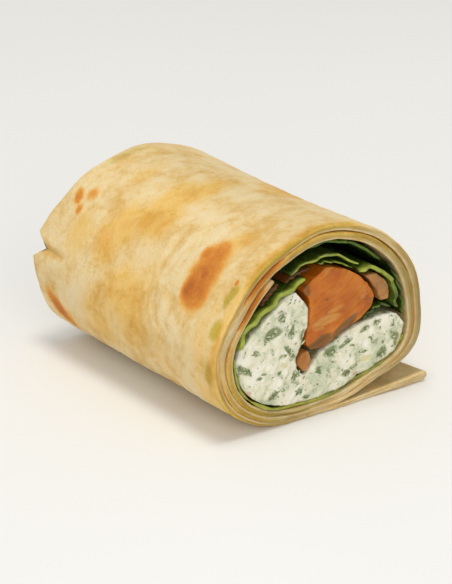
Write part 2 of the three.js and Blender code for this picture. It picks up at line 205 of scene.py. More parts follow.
@dataclass(frozen=True)
class RollForm:
    """The sizes that every piece shares, in mm, the same as the solids'."""

    length: float = 68.0
    centre_x: float = 1.5
    centre_z: float = 21.0
    shift_x: float = -0.64
    shift_y: float = -0.7
    radii: Numbers = (
        29.2, 28.2, 26.7, 25.6, 25.2, 24.4, 25.1, 26.2, 29, 28.8, 26.1, 22.8, 21, 22.3, 24.9, 30.2
    )
    layer_pitch: Numbers = (2.2, 2.0, 1.85, 1.2)
    sheet_thickness: Numbers = (1.85, 1.6, 1.5, 0.98)
    start: float = -75.0
    turns: float = 2.43
    dive_start: float = 0.8
    dive_end: float = 0.96
    tail_reach: float = 32.7
    tail_thickness: float = 2.5
    tail_lift: float = 0.35
    tail_slant: float = 12.0
    far_skew: float = -3.2
    far_swell: float = 2.6
    far_swell_towards: float = 135.0
    far_sink: float = 1.3
    mid_sag: float = 0.7
    wall_reach: float = 3.0  # degrees to each side in which the hollow's wall is measured

    def bend(self, x: float, y: float, z: float) -> Vector:
        """Move a place of the straight roll to where it is in the real one.

        Args:
            x: Across the section, in mm.
            y: Along the roll, in mm.
            z: Up the section, in mm.

        Returns:
            The real place, in metres.
        """
        along = y / self.length + 0.5
        aside = x - self.centre_x
        above = z - self.centre_z
        towards = math.cos(math.atan2(above, aside) - math.radians(self.far_swell_towards))
        swell = self.far_swell * smoothstep(along, 0.1, 1.05) * max(0.0, towards) ** 4 / self.radii[6]
        sag = (self.mid_sag * math.sin(math.pi * along) + self.far_sink * along) * z / (2 * self.centre_z)
        real_x = x + swell * aside + self.far_skew * along + self.shift_x
        return Vector((real_x, y + self.shift_y, max(0.0, z + swell * above - sag))) * MM

    def turns_deep(self, turn: float) -> float:
        """How many layers deep the sheet lies at a turn of the roll."""
        whole = math.floor(turn)
        return whole + smoothstep(turn - whole, self.dive_start, self.dive_end)

    def sheet_point(self, turn: float) -> Vector:
        """The middle of the sheet at a turn of the roll.

        Args:
            turn: From 0, where the tail meets the roll.

        Returns:
            x, z and thickness in mm.
        """
        degrees = self.start - 360 * turn
        thickness = around(self.sheet_thickness, degrees)
        depth = self.turns_deep(turn) * around(self.layer_pitch, degrees) + thickness / 2
        radius = around(self.radii, degrees) - depth
        direction = math.radians(degrees)
        x, z = self.centre_x + radius * math.cos(direction), self.centre_z + radius * math.sin(direction)
        return Vector((x, z, thickness))

    def hollow_radius(self, degrees: float) -> float:
        """The radius of the hollow inside the sheet.

        Args:
            degrees: The direction, from +X towards +Z.

        Returns:
            The radius in mm.
        """
        last = (self.start - degrees) / 360
        turn = last + math.floor(self.turns - last)
        depth = self.turns_deep(turn) * around(self.layer_pitch, degrees)
        return around(self.radii, degrees) - (depth + around(self.sheet_thickness, degrees))

    def inside_hollow(self, degrees: float, depth: float) -> Numbers:
        """A point at a depth inside the hollow, square to its wall.

        Args:
            degrees: The direction from the roll's middle.
            depth: How far inside the wall, in mm.

        Returns:
            x and z in the section.
        """

        def wall(direction: float) -> Vector:
            """A point of the hollow's wall, from the roll's middle."""
            radius, turn = self.hollow_radius(direction), math.radians(direction)
            return Vector((radius * math.cos(turn), radius * math.sin(turn)))

        run = (wall(degrees + self.wall_reach) - wall(degrees - self.wall_reach)).normalized()
        spot = wall(degrees)
        return (self.centre_x + spot.x - run.y * depth, self.centre_z + spot.y + run.x * depth)

    def section_y(self, w: float, near: float, far: float) -> float:
        """The place along Y from w = 0 at the cut to w = 1 at the far end.

        Args:
            w: The share of the way along the roll.
            near: How far the cut end stands out.
            far: How far the far end stands out.

        Returns:
            y in the straight roll.
        """
        return lerp(-self.length / 2 - near, self.length / 2 + far, w)


FORM = RollForm()

CLEARANCE = 0.38
FACET_ALLOWANCE = 0.12
LINING_THICKNESS = 0.7
TOP_LEAF_THICKNESS = 1.2
SIDE_LEAF_THICKNESS = 0.8
LINING_DEPTH = CLEARANCE + FACET_ALLOWANCE + LINING_THICKNESS / 2
CREAM_DEPTH = LINING_DEPTH + LINING_THICKNESS / 2 + CLEARANCE + FACET_ALLOWANCE


# ------------------------------------------------------------------ meshes and pieces


TOUCH = 1e-4  # how near to 0 or 1 a corner of a block is on its end face

def unit_block(cells: tuple[int, int, int]) -> bmesh.types.BMesh:
    """A closed block from (0, 0, 0) to (1, 1, 1), cut into cells.

    Args:
        cells: How many along X, Y and Z.

    Returns:
        The block, all of it four-sided faces.
    """
    block = bmesh.new()
    bmesh.ops.create_cube(block, size=1.0, matrix=Matrix.Translation((0.5, 0.5, 0.5)))
    for axis, count in enumerate(cells):
        if count > 1:
            along = [e for e in block.edges if abs(e.verts[0].co[axis] - e.verts[1].co[axis]) > 0.5]
            bmesh.ops.subdivide_edges(block, edges=along, cuts=count - 1, use_grid_fill=True)
    return block


def crowded(share: float, amount: float) -> float:
    """A share from 0 to 1 moved towards the nearer end, so that rows crowd at both ends."""
    return share - amount * math.sin(TURN * share) / TURN


def on_end(w: float) -> bool:
    """Whether a share of the roll's length is at the cut or the far end."""
    return w < TOUCH or w > 1 - TOUCH


def bulge(v: float, w: float, height: float) -> float:
    """How far a thin sheet's cut edge is pushed out along Y.

    Args:
        v: The share of the way through the sheet.
        w: The share of the way along the roll.
        height: The bulge halfway through the sheet, in mm.

    Returns:
        The way in mm, less than 0 at the cut, and 0 between the ends.
    """
    out = (-1 if w < 0.5 else 1) * height * (1 - (2 * v - 1) ** 2)
    return out if on_end(w) else 0.0


def add_piece(name: str, mesh: bmesh.types.BMesh, finishes: list["Finish"]) -> bpy.types.Object:
    """Make a finished mesh into a smooth object of the scene.

    Args:
        name: The piece's name.
        mesh: Its mesh, which is used up.
        finishes: The finish of each material index.

    Returns:
        The object, at the origin.
    """
    bmesh.ops.recalc_face_normals(mesh, faces=mesh.faces)
    data = bpy.data.meshes.new(name)
    mesh.to_mesh(data)
    mesh.free()
    data.shade_smooth()
    piece = bpy.data.objects.new(name, data)
    for finish in finishes:
        data.materials.append(finish.material())
    bpy.context.scene.collection.objects.link(piece)
    return piece


def settle(piece: bpy.types.Object, slot: str, *nodes: str) -> None:
    """Make a piece part of the food.

    Args:
        piece: The piece.
        slot: The name of its material slot.
        *nodes: The solids that it stands for.
    """
    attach(piece, BODY)
    if nodes:
        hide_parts(*nodes)
    faces = len(piece.data.polygons)
    log.info("%s: %d faces, slot %s, for %s", piece.name, faces, slot, nodes or "nothing")


# ------------------------------------------------------------------ finishes


Socket = bpy.types.NodeSocket
Tree = bpy.types.NodeTree
Inputs = dict[int | str, object]  # values, hex colours or sockets, by an input's name or number

MIX_A, MIX_B, MIX_RESULT = 6, 7, 2  # a Mix node's colour sockets


def linear(colour: str) -> Numbers:
    """An sRGB hex colour as linear red, green, blue and alpha."""
    parts = [int(colour[n : n + 2], 16) / 255 for n in (1, 3, 5)]
    return (*(p / 12.92 if p <= 0.04045 else ((p + 0.055) / 1.055) ** 2.4 for p in parts), 1.0)


def feed(node: bpy.types.Node, inputs: Inputs) -> None:
    """Give a node's inputs their values, colours and links.

    Args:
        node: The node, in its tree.
        inputs: What each input gets.
    """
    for key, value in inputs.items():
        if isinstance(value, Socket):
            node.id_data.links.new(value, node.inputs[key])
        else:
            node.inputs[key].default_value = linear(value) if isinstance(value, str) else value


def add_node(
    tree: Tree,
    kind: str,
    inputs: Inputs | None = None,
    output: int | str = 0,
    stops: dict[float, str] | None = None,
    **settings: object,
) -> Socket:
    """Add a node with its settings and links.

    Args:
        tree: The material's node tree.
        kind: The node's type, without the word ShaderNode.
        inputs: What each input gets.
        output: The name or number of the output that is used.
        stops: A colour ramp's hex colours, by their places.
        **settings: The node's own properties.

    Returns:
        The output that is used.
    """
    node = tree.nodes.new("ShaderNode" + kind)
    for name, value in settings.items():
        setattr(node, name, value)
    feed(node, inputs or {})
    if stops:
        elements = node.color_ramp.elements
        while len(elements) < len(stops):
            elements.new(0.5)
        for element, (place, colour) in zip(elements, stops.items()):
            element.position = place
            element.color = linear(colour)
    return node.outputs[output]


def add_up(tree: Tree, start: Socket | float, *terms: tuple[Socket, float]) -> Socket:
    """Add patterns to one another.

    Args:
        tree: The material's node tree.
        start: The pattern or number to start from.
        *terms: Each pattern with the weight that it is added by.

    Returns:
        The sum.
    """
    total = start
    for pattern, weight in terms:
        total = add_node(tree, "Math", {0: pattern, 1: weight, 2: total}, operation="MULTIPLY_ADD")
    return total


def cover(
    tree: Tree,
    layers: Socket,
    colour: Socket | str,
    amount: Socket,
    reach: tuple[float, float],
    most: float = 1.0,
    blend: str = "MIX",
) -> Socket:
    """Lay a colour over those below it, as thick as what brings it is strong.

    Args:
        tree: The material's node tree.
        layers: The colours below.
        colour: The colour that goes over them.
        amount: How strong what brings the colour is.
        reach: The strengths from which it starts to show and shows in full.
        most: The share that it covers in full.
        blend: MIX to cover what is below, MULTIPLY to tint it.

    Returns:
        The colours with the new one over them.
    """
    mask = add_node(tree, "MapRange", {0: amount, 1: reach[0], 2: reach[1], 3: 0.0, 4: most})
    both = {0: mask, MIX_A: layers, MIX_B: colour}
    return add_node(tree, "Mix", both, MIX_RESULT, data_type="RGBA", blend_type=blend)


class Finish:
    """What a finish has in common: one material, made when a piece first asks for it."""

    name: str
    made: dict[str, bpy.types.Material] = {}

    def material(self) -> bpy.types.Material:
        """Find the finish's material, or make it.

        Returns:
            The material.
        """
        if self.name not in Finish.made:
            new = bpy.data.materials.new(self.name)
            new.use_nodes = True
            feed(new.node_tree.nodes["Principled BSDF"], self.surface(new.node_tree))
            Finish.made[self.name] = new
        return Finish.made[self.name]

    def surface(self, tree: Tree) -> Inputs:
        """What the shader's inputs get, once their patterns are in the material's node tree."""
        raise NotImplementedError


@dataclass(frozen=True)
class GriddledFlatbread(Finish):
    """Wheat flatbread, rolled thin and baked on a griddle: floury, matt, with toasted blisters."""

    name: str = "griddled_wheat_flatbread"
    floury: str = "#EED8AB"
    plain: str = "#ECD39E"
    baked: str = "#E4C487"
    ochre: str = "#DDB66D"
    freckle: str = "#CB9A55"
    toasts: tuple[str, ...] = ("#EEBC68", "#E6A74C", "#D98B31", "#BF6A22", "#8E5626")
    toast_strengths: Numbers = (0.22, 0.36, 0.54, 0.8, 1.0)
    golden: str = "#FFEBB4"  # a tint laid over the baked skin
    oiled: str = "#DDDD80"  # the same for oil
    # dark olive for painted shade, with some oil and juices on the cut rim
    damp_and_shade: str = "#6F6430"
    crumb: str = "#E2CFA2"
    crumb_shade: str = "#BC9F68"
    cloud_mm: float = 8.0
    patch_mm: float = 3.0
    fleck_mm: float = 1.2
    grain_mm: float = 0.45
    freckle_mm: float = 1.1
    crumb_stretch: Numbers = (0.16, 1.0, 1.7)

    def surface(self, tree: Tree) -> Inputs:
        """Clouds of flour and heat on the skin, toast where the sheet says so, and a pale cut crumb.

        Args:
            tree: The material's node tree.

        Returns:
            What the shader's inputs get.
        """
        sheet, marks, cut, raised, damp_and_shade = (
            add_node(tree, "Attribute", output=kind, attribute_name=name)
            for kind, names in (("Vector", ("sheet", "marks")), ("Fac", ("cut", "raised", "damp_and_shade")))
            for name in names
        )
        toast, gold, oil = add_node(tree, "SeparateXYZ", {0: marks}).node.outputs
        cloud, patch, fleck, grain = (
            add_node(tree, "TexNoise", {"Vector": sheet, "Scale": 1 / size, "Detail": 4.0, "Roughness": 0.6})
            for size in (self.cloud_mm, self.patch_mm, self.fleck_mm, self.grain_mm)
        )
        # raised skin is painted paler: painted light on the crests of folds, arcs and blisters
        tone = add_up(tree, cloud, (patch, 0.5), (fleck, 0.3), (raised, -0.75))
        spread = add_node(tree, "MapRange", {0: tone, 1: 0.56, 2: 1.2})
        layers = add_node(
            tree, "ValToRGB", {"Fac": spread},
            stops={0.15: self.floury, 0.42: self.plain, 0.68: self.baked, 0.92: self.ochre},
        )
        dots = {"Vector": sheet, "Scale": 1 / self.freckle_mm, "Randomness": 1.0}
        freckled = add_up(tree, add_node(tree, "TexVoronoi", dots, "Distance"), (patch, -0.9))
        layers = cover(tree, layers, self.freckle, freckled, (-0.27, -0.42), 0.24)
        streaked = add_node(tree, "Mapping", {"Vector": sheet, "Scale": self.crumb_stretch})
        streaks = add_node(tree, "TexNoise", {"Vector": streaked, "Scale": 1 / self.fleck_mm, "Detail": 4.0})
        crumb = add_node(tree, "ValToRGB", {"Fac": streaks}, stops={0.34: self.crumb, 0.66: self.crumb_shade})
        layers = cover(tree, layers, crumb, cut, (0.2, 0.8))
        uneven = add_up(tree, -0.55, (patch, 0.7), (fleck, 0.4), (cloud, 0.2))
        for amount, reach, tint in ((gold, (0.0, 1.1), self.golden), (oil, (0.15, 0.95), self.oiled)):
            layers = cover(tree, layers, tint, add_up(tree, uneven, (amount, 1.0)), reach, blend="MULTIPLY")
        mottle = add_up(tree, 0.62, (uneven, 0.9), (grain, 0.4))
        spread = add_node(tree, "Math", {0: toast, 1: mottle}, operation="MULTIPLY")
        browned = dict(zip(self.toast_strengths, self.toasts))
        browned = add_node(tree, "ValToRGB", {"Fac": spread}, stops=browned)
        layers = cover(tree, layers, browned, spread, (0.14, 0.42))
        # painted shade: darkens the rim, the skin's right side and top, the hollow's wall and the tail under
        # the roll; on the rim partly oil and juices
        layers = cover(tree, layers, self.damp_and_shade, damp_and_shade, (0.2, 0.9), 0.85)
        relief = add_up(tree, grain, (fleck, 0.8))
        return {
            "Base Color": layers,
            "Roughness": add_node(tree, "MapRange", {0: oil, 1: 0.3, 2: 1.0, 3: 0.7, 4: 0.35}),
            "Normal": add_node(tree, "Bump", {"Height": relief, "Strength": 0.7, "Distance": 0.0004}),
            "Subsurface Weight": 0.12,
            "Subsurface Radius": (1.0, 0.55, 0.25),
            "Subsurface Scale": 0.0015,
            "Specular IOR Level": 0.35,
        }


@dataclass(frozen=True)
class HerbCreamCheese(Finish):
    """Soft white cheese, whipped with chopped herbs: moist, lumpy, green where herbs lie under it."""

    name: str = "whipped_herb_cream_cheese"
    white: str = "#F5F1DF"
    cream: str = "#EBE6CA"
    shaded: str = "#CDD3B4"
    herb_stain: str = "#818B58"
    grey_stain: str = "#A5AE8F"
    # olive for painted shade on the cream's sides, tinted like juices
    juice_and_shade: str = "#8E9058"
    oil_stain: str = "#D9CF8A"
    pink_stain: str = "#D9A98A"
    cloud_mm: float = 4.2
    fleck_mm: float = 1.1
    grain_mm: float = 0.4

    def surface(self, tree: Tree) -> Inputs:
        """White curds, grey-green stains where herbs lie close, fine flecks, a grainy moist skin, and painted
        shade, tinted like juices, on the sides that show in the hollows.

        Args:
            tree: The material's node tree.

        Returns:
            What the shader's inputs get.
        """
        place = add_node(tree, "TexCoord", output="Object")
        tint = add_node(tree, "Attribute", output="Vector", attribute_name="tint")
        wall = add_node(tree, "Attribute", output="Fac", attribute_name="wall")
        herby, oily, pink = add_node(tree, "SeparateXYZ", {0: tint}).node.outputs
        curdled = {"Vector": place, "Detail": 4.0, "Roughness": 0.6, "Distortion": 0.5}
        cloud, fleck, grain = (
            add_node(tree, "TexNoise", {**curdled, "Scale": PER_METRE / size})
            for size in (self.cloud_mm, self.fleck_mm, self.grain_mm)
        )
        layers = add_node(
            tree, "ValToRGB", {"Fac": cloud}, stops={0.38: self.shaded, 0.49: self.cream, 0.6: self.white}
        )
        uneven = add_up(tree, -0.28, (fleck, 1.7), (cloud, -1.2))
        for amount, reach, most, stain in (
            (oily, (0.2, 0.9), 0.7, self.oil_stain),
            (pink, (0.3, 0.8), 0.8, self.pink_stain),
            (herby, (0.12, 0.6), 0.8, self.grey_stain),
            (herby, (0.45, 0.75), 0.85, self.herb_stain),
            # painted shade on the sides that show in the hollows, tinted like juices
            (wall, (0.2, 0.9), 0.9, self.juice_and_shade),
        ):
            layers = cover(tree, layers, stain, add_up(tree, uneven, (amount, 1.0)), reach, most)
        relief = add_up(tree, grain, (fleck, 1.5))
        return {
            "Base Color": layers,
            "Roughness": 0.4,
            "Normal": add_node(tree, "Bump", {"Height": relief, "Strength": 0.7, "Distance": 0.0003}),
            "Subsurface Weight": 0.3,
            "Subsurface Radius": (1.0, 0.9, 0.7),
            "Subsurface Scale": 0.001,
            "Specular IOR Level": 0.5,
        }


@dataclass(frozen=True)
class ChoppedHerb(Finish):
    """Fresh dill and chives, chopped fine: mid green with a dull wet shine."""

    name: str = "chopped_fresh_herb"
    dark: str = "#5C6F36"
    plain: str = "#75884F"
    light: str = "#A0A97C"
    smeared: str = "#CFD3B2"
    fleck_mm: float = 0.8

    def surface(self, tree: Tree) -> Inputs:
        """Greens that change from scrap to scrap, smeared with cheese here and there.

        Args:
            tree: The material's node tree.

        Returns:
            What the shader's inputs get.
        """
        place = add_node(tree, "TexCoord", output="Object")
        scale = PER_METRE / self.fleck_mm
        fleck = add_node(tree, "TexNoise", {"Vector": place, "Scale": scale, "Detail": 4.0})
        greens = {0.3: self.dark, 0.42: self.plain, 0.5: self.light, 0.57: self.smeared}
        return {
            "Base Color": add_node(tree, "ValToRGB", {"Fac": fleck}, stops=greens),
            "Roughness": 0.5,
            "Normal": add_node(tree, "Bump", {"Height": fleck, "Strength": 0.4, "Distance": 0.0002}),
            "Subsurface Weight": 0.1,
            "Subsurface Scale": 0.0006,
        }


@dataclass(frozen=True)
class SmokedSalmon(Finish):
    """Smoked salmon: soft orange flesh in flakes, with pale fat between them and a moist shine."""

    name: str
    flesh: str
    deep: str
    fat: str
    brown: str
    cloud_mm: float = 4.5
    flake_mm: float = 3.1
    fibre_mm: float = 0.6
    slope: float = 30.0  # degrees in the section
    stretch: Numbers = (0.25, 0.35, 1.0)

    def surface(self, tree: Tree) -> Inputs:
        """Flakes that run at a slope through the flesh, pale lines between them, and fine fibres.

        Args:
            tree: The material's node tree.

        Returns:
            What the shader's inputs get.
        """
        place = add_node(tree, "TexCoord", output="Object")
        tint = add_node(tree, "Attribute", output="Vector", attribute_name="tint")
        fatty, browned, _ = add_node(tree, "SeparateXYZ", {0: tint}).node.outputs
        sloping = {"Vector": place, "Rotation": (0.0, math.radians(self.slope), 0.0), "Scale": self.stretch}
        turned = add_node(tree, "Mapping", sloping)
        cloud, flake, fibre = (
            add_node(tree, "TexNoise", {"Vector": where, "Scale": PER_METRE / size, **more})
            for where, size, more in (
                (place, self.cloud_mm, {"Detail": 4.0}),
                (turned, self.flake_mm, {"Detail": 2.0, "Distortion": 0.4}),
                (turned, self.fibre_mm, {"Detail": 3.0}),
            )
        )
        layers = add_node(tree, "ValToRGB", {"Fac": cloud}, stops={0.35: self.deep, 0.65: self.flesh})
        between = add_node(tree, "Math", {0: flake, 1: 0.5}, operation="SUBTRACT")
        between = add_node(tree, "Math", {0: between}, operation="ABSOLUTE")
        layers = cover(tree, layers, self.fat, between, (0.03, 0.0), 0.12)
        for amount, colour in ((fatty, self.fat), (browned, self.brown)):
            spread = add_up(tree, -0.3, (fibre, 0.6), (amount, 1.0))
            layers = cover(tree, layers, colour, spread, (0.25, 0.8), 0.9)
        relief = add_up(tree, fibre, (flake, 2.0))
        return {
            "Base Color": layers,
            "Roughness": 0.42,
            "Normal": add_node(tree, "Bump", {"Height": relief, "Strength": 0.5, "Distance": 0.0003}),
            "Subsurface Weight": 0.2,
            "Subsurface Radius": (1.0, 0.35, 0.1),
            "Subsurface Scale": 0.0015,
            "Specular IOR Level": 0.35,
        }


@dataclass(frozen=True)
class LettuceLeaf(Finish):
    """Fresh lettuce: a waxy skin with pale veins, and a cut edge painted bright as painted light through the
    leaf.
    """

    name: str
    blade: str
    shade: str
    vein: str
    # the colour the cut edge is painted in: painted light through the leaf
    edge: str
    cloud_mm: float = 4.5
    vein_mm: float = 3.4
    cell_mm: float = 0.8

    def surface(self, tree: Tree) -> Inputs:
        """Green clouds, a net of veins and a cut edge painted bright: painted light.

        Args:
            tree: The material's node tree.

        Returns:
            What the shader's inputs get.
        """
        leaf = add_node(tree, "Attribute", output="Vector", attribute_name="sheet")
        cut, bright = (
            add_node(tree, "Attribute", output="Fac", attribute_name=name) for name in ("cut", "bright")
        )
        cloud, cell = (
            add_node(tree, "TexNoise", {"Vector": leaf, "Scale": 1 / size, "Detail": detail})
            for size, detail in ((self.cloud_mm, 3.0), (self.cell_mm, 2.0))
        )
        layers = add_node(tree, "ValToRGB", {"Fac": cloud}, stops={0.32: self.shade, 0.62: self.blade})
        net = {"Vector": leaf, "Scale": 1 / self.vein_mm}
        net = add_node(tree, "TexVoronoi", net, "Distance", feature="DISTANCE_TO_EDGE")
        vein = add_node(tree, "MapRange", {0: net, 1: 0.07, 2: 0.01, 3: 0.0, 4: 0.55})
        # painted light: the cut edge brightened as far as the sheet's edge tones say
        rim = add_node(tree, "MapRange", {0: cut, 1: 0.1, 2: 0.9, 3: 0.0, 4: 0.9})
        rim = add_node(tree, "Math", {0: rim, 1: bright}, operation="MULTIPLY")
        for mask, colour in ((vein, self.vein), (rim, self.edge)):
            both = {0: mask, MIX_A: layers, MIX_B: colour}
            layers = add_node(tree, "Mix", both, MIX_RESULT, data_type="RGBA")
        relief = add_up(tree, cell, (vein, 2.0))
        return {
            "Base Color": layers,
            "Roughness": 0.36,
            "Normal": add_node(tree, "Bump", {"Height": relief, "Strength": 0.5, "Distance": 0.0002}),
            "Subsurface Weight": 0.2,
            "Subsurface Radius": (0.5, 1.0, 0.2),
            "Subsurface Scale": 0.0008,
            "Specular IOR Level": 0.5,
        }


@dataclass(frozen=True)
class PaleFloor(Finish):
    """A plain pale table: matt, with only the faintest change of tone."""

    name: str = "matt_pale_table"
    tone: str = "#EFEFEE"
    light_tone: str = "#F2F2F1"

    def surface(self, tree: Tree) -> Inputs:
        """One tone with a faint cloud in it.

        Args:
            tree: The material's node tree.

        Returns:
            What the shader's inputs get.
        """
        place = add_node(tree, "TexCoord", output="Object")
        cloud = add_node(tree, "TexNoise", {"Vector": place, "Scale": 6.0})
        tones = add_node(tree, "ValToRGB", {"Fac": cloud}, stops={0.3: self.tone, 0.7: self.light_tone})
        return {"Base Color": tones, "Roughness": 0.8, "Specular IOR Level": 0.2}


FLATBREAD = GriddledFlatbread()
CREAM = HerbCreamCheese()
HERB = ChoppedHerb()
SALMON = SmokedSalmon("smoked_salmon", "#CC7618", "#B25806", "#CE9244", "#76501F")
PALE_SALMON = SmokedSalmon("smoked_salmon_outer_flesh", "#B27C42", "#8C5E2C", "#CDA272", "#6A4820")
TIP_SALMON = SmokedSalmon("smoked_salmon_thin_tip", "#CA8A48", "#A4682E", "#DAB07A", "#7A5428")
# the thin slivers lie in deep shade: their dark colours are painted shade
DEEP_SHADE_SALMON = SmokedSalmon("smoked_salmon_painted_deep_shade", "#744010", "#4E2C08", "#86551F", "#3A2208")
# lit and shaded copies of one lettuce: blades painted darker as painted shade, cut edges painted bright as
# painted light
BRIGHT_LETTUCE = LettuceLeaf("lettuce_leaf_painted_light_and_shade", "#496118", "#2A3D0C", "#6A8030", "#A8B440")
SHADED_LETTUCE = LettuceLeaf("lettuce_shaded_inner_leaf", "#33450F", "#1C2A08", "#4A5C20", "#A8B440")
GREEN_LETTUCE = LettuceLeaf("lettuce_green_leaf", "#486016", "#2B400D", "#64792E", "#90A23A")
LINING_LETTUCE = LettuceLeaf("lettuce_oiled_lining", "#5B6A1E", "#38490F", "#7C8838", "#ABA93C")
# near-black green for the leaves under the top, beside and under the salmon: painted shade
DEEP_SHADE_LETTUCE = LettuceLeaf("lettuce_leaf_painted_deep_shade", "#2A3B0B", "#162206", "#3B5014", "#5E7A20")


# ------------------------------------------------------------------ the flatbread


class Mark(Enum):
    """What heat or oil did to the flatbread's skin."""

    TOAST = 0
    GOLD = 1
    OIL = 2


@dataclass(frozen=True)
class Blotch:
    """One uneven oval mark on the skin of the rolled sheet."""

    mark: Mark
    degrees: float  # round the roll, from +X towards +Z
    along: float  # mm from the cut
    across_mm: float  # half its reach round the roll
    along_mm: float  # half its reach along the roll
    turned: float = 0.0  # degrees in the skin
    strength: float = 1.0
    layer: int = 0  # 0 is the outer turn


SKIN_MARKS: dict[Mark, tuple[Numbers, ...]] = {  # each row is a Blotch, from its degrees on
    Mark.TOAST: (
        # the large patch by the cut, and the dot beside it
        (129, 15, 4.2, 4.4, -14, 0.48), (138, 14.9, 5.8, 5.5, -8, 0.58), (147, 14.5, 5.8, 5.6, 0, 0.6),
        (157, 14, 4.8, 4.8, 0, 0.66), (155, 17, 3.6, 2.2, 0, 0.78), (134, 18, 2, 1.4, 0, 0.66),
        (145, 14.6, 2.2, 1.2, 30, 0.68), (142.5, 4, 1.2, 1, 0, 0.6),
        # small spots and a browned strip at the far end
        (138, 63.4, 2.8, 1.6, 35, 0.6), (134.5, 60, 2.4, 2.2, 0, 0.45), (144, 60.8, 1.8, 1.5, 0, 0.55),
        (200, 60.5, 8.4, 4.6, 30, 0.42), (198, 61.6, 6.8, 2.6, 30, 0.72), (139, 46, 3.2, 2.8, 20, 0.25),
        (148.5, 47.8, 3.4, 2.8, 0, 0.36), (158, 49.6, 1.8, 1.5, 0, 0.3),
        # the side and the back that the cut's front view doesn't reach
        (42, 41, 4.8, 3.4, 30, 0.58), (34, 43, 3, 2.2, 0, 0.66), (10, 56, 2.4, 1.8, 0, 0.5),
        (66, 58.5, 1.7, 1.2, 0, 0.45), (18, 13, 1.8, 1.4, 0, 0.5),
        # browned skin that shows between the layers, partly painted shade in the gaps between them
        (134, 1, 8, 3, 0, 0.68, 1), (152, 1, 7, 3, 0, 0.7, 2), (-8, 0.5, 7, 1.6, 0, 0.5, 1),
        (-28, 0.5, 5, 1.4, 0, 0.42, 1),
    ),
    Mark.GOLD: (
        # a band that runs slantwise over the top
        (152, 47.5, 6, 4.6, 25, 1.2), (140, 45, 6.5, 5, 20, 1.2), (128, 38.5, 7, 6, 20, 1.4),
        (113, 40, 7, 4.4, 15, 1.3), (98, 36.5, 7.5, 4, 10, 1),
        # clouds round it
        (108, 54, 5, 2.6, 10, 0.65), (154, 57, 6, 4.5, 0, 0.9), (92, 63, 10, 3.5, 0, 0.35),
        (170, 36, 8, 8, 10, 1.05), (182, 31, 8, 6.5, 0, 0.9), (188, 44, 8, 7, 0, 0.9),
        (192, 20, 7, 4, 20, 0.4), (160, 30, 5, 4, 0, 0.6), (172, 6, 12, 3.2, 0, 0.6),
        (204, 5.5, 8, 3.6, 0, 0.9), (124, 13, 4.6, 3.4, -14, 0.9), (150, 13.8, 9, 5.2, -6, 0.6),
        # the side and the back that the cut's front view doesn't reach
        (60, 30, 8, 6, 20, 0.8), (28, 48, 9, 6, -20, 0.8), (5, 18, 7, 5, 10, 0.8),
        # the rim of the cut
        (195, 0, 14, 3.6, 0, 1.25), (160, 0, 12, 2.8, 0, 1.4), (125, 0, 12, 2.8, 0, 1.2),
        (88, 0, 14, 2.8, 0, 1.2), (60, 0, 16, 2.4, 0, 1.1, 1), (95, 0, 16, 2.4, 0, 1.2, 1),
        (20, 0, 16, 2, 0, 1), (-10, 0, 14, 2, 0, 1.1, 1), (225, 0, 14, 2.6, 0, 1.1), (210, 0, 14, 2, 0, 1, 1),
        (200, 0, 14, 2, 0, 1, 2),
    ),
    Mark.OIL: (
        # drawn out along the cut by the knife
        (167.5, 2.6, 2.6, 1.6, 0, 1.3), (149, 3.4, 3.4, 1.3, -10, 1.1), (188, 2.2, 3.4, 1.3, 0, 0.9),
        (112, 0, 4.6, 0.9, 0, 0.8), (205, 1, 6, 1.2, 0, 0.65), (104, 65.5, 6, 2, 0, 0.5),
        (90, 0, 14, 1.8, 0, 0.5), (128, 0, 9, 1.4, 0, 0.75), (96, 0, 16, 2.4, 0, 0.55, 1),
        (40, 0, 16, 2, 0, 0.55, 1), (-2, 0, 14, 1.8, 0, 0.6, 1), (226, 0, 11, 1.6, 0, 0.6, 1),
        (218, 0, 12, 2.4, 0, 0.6), (236, 0, 12, 1.8, 0, 1, 2), (214, 0, 12, 1.6, 0, 0.8, 2),
    ),
}


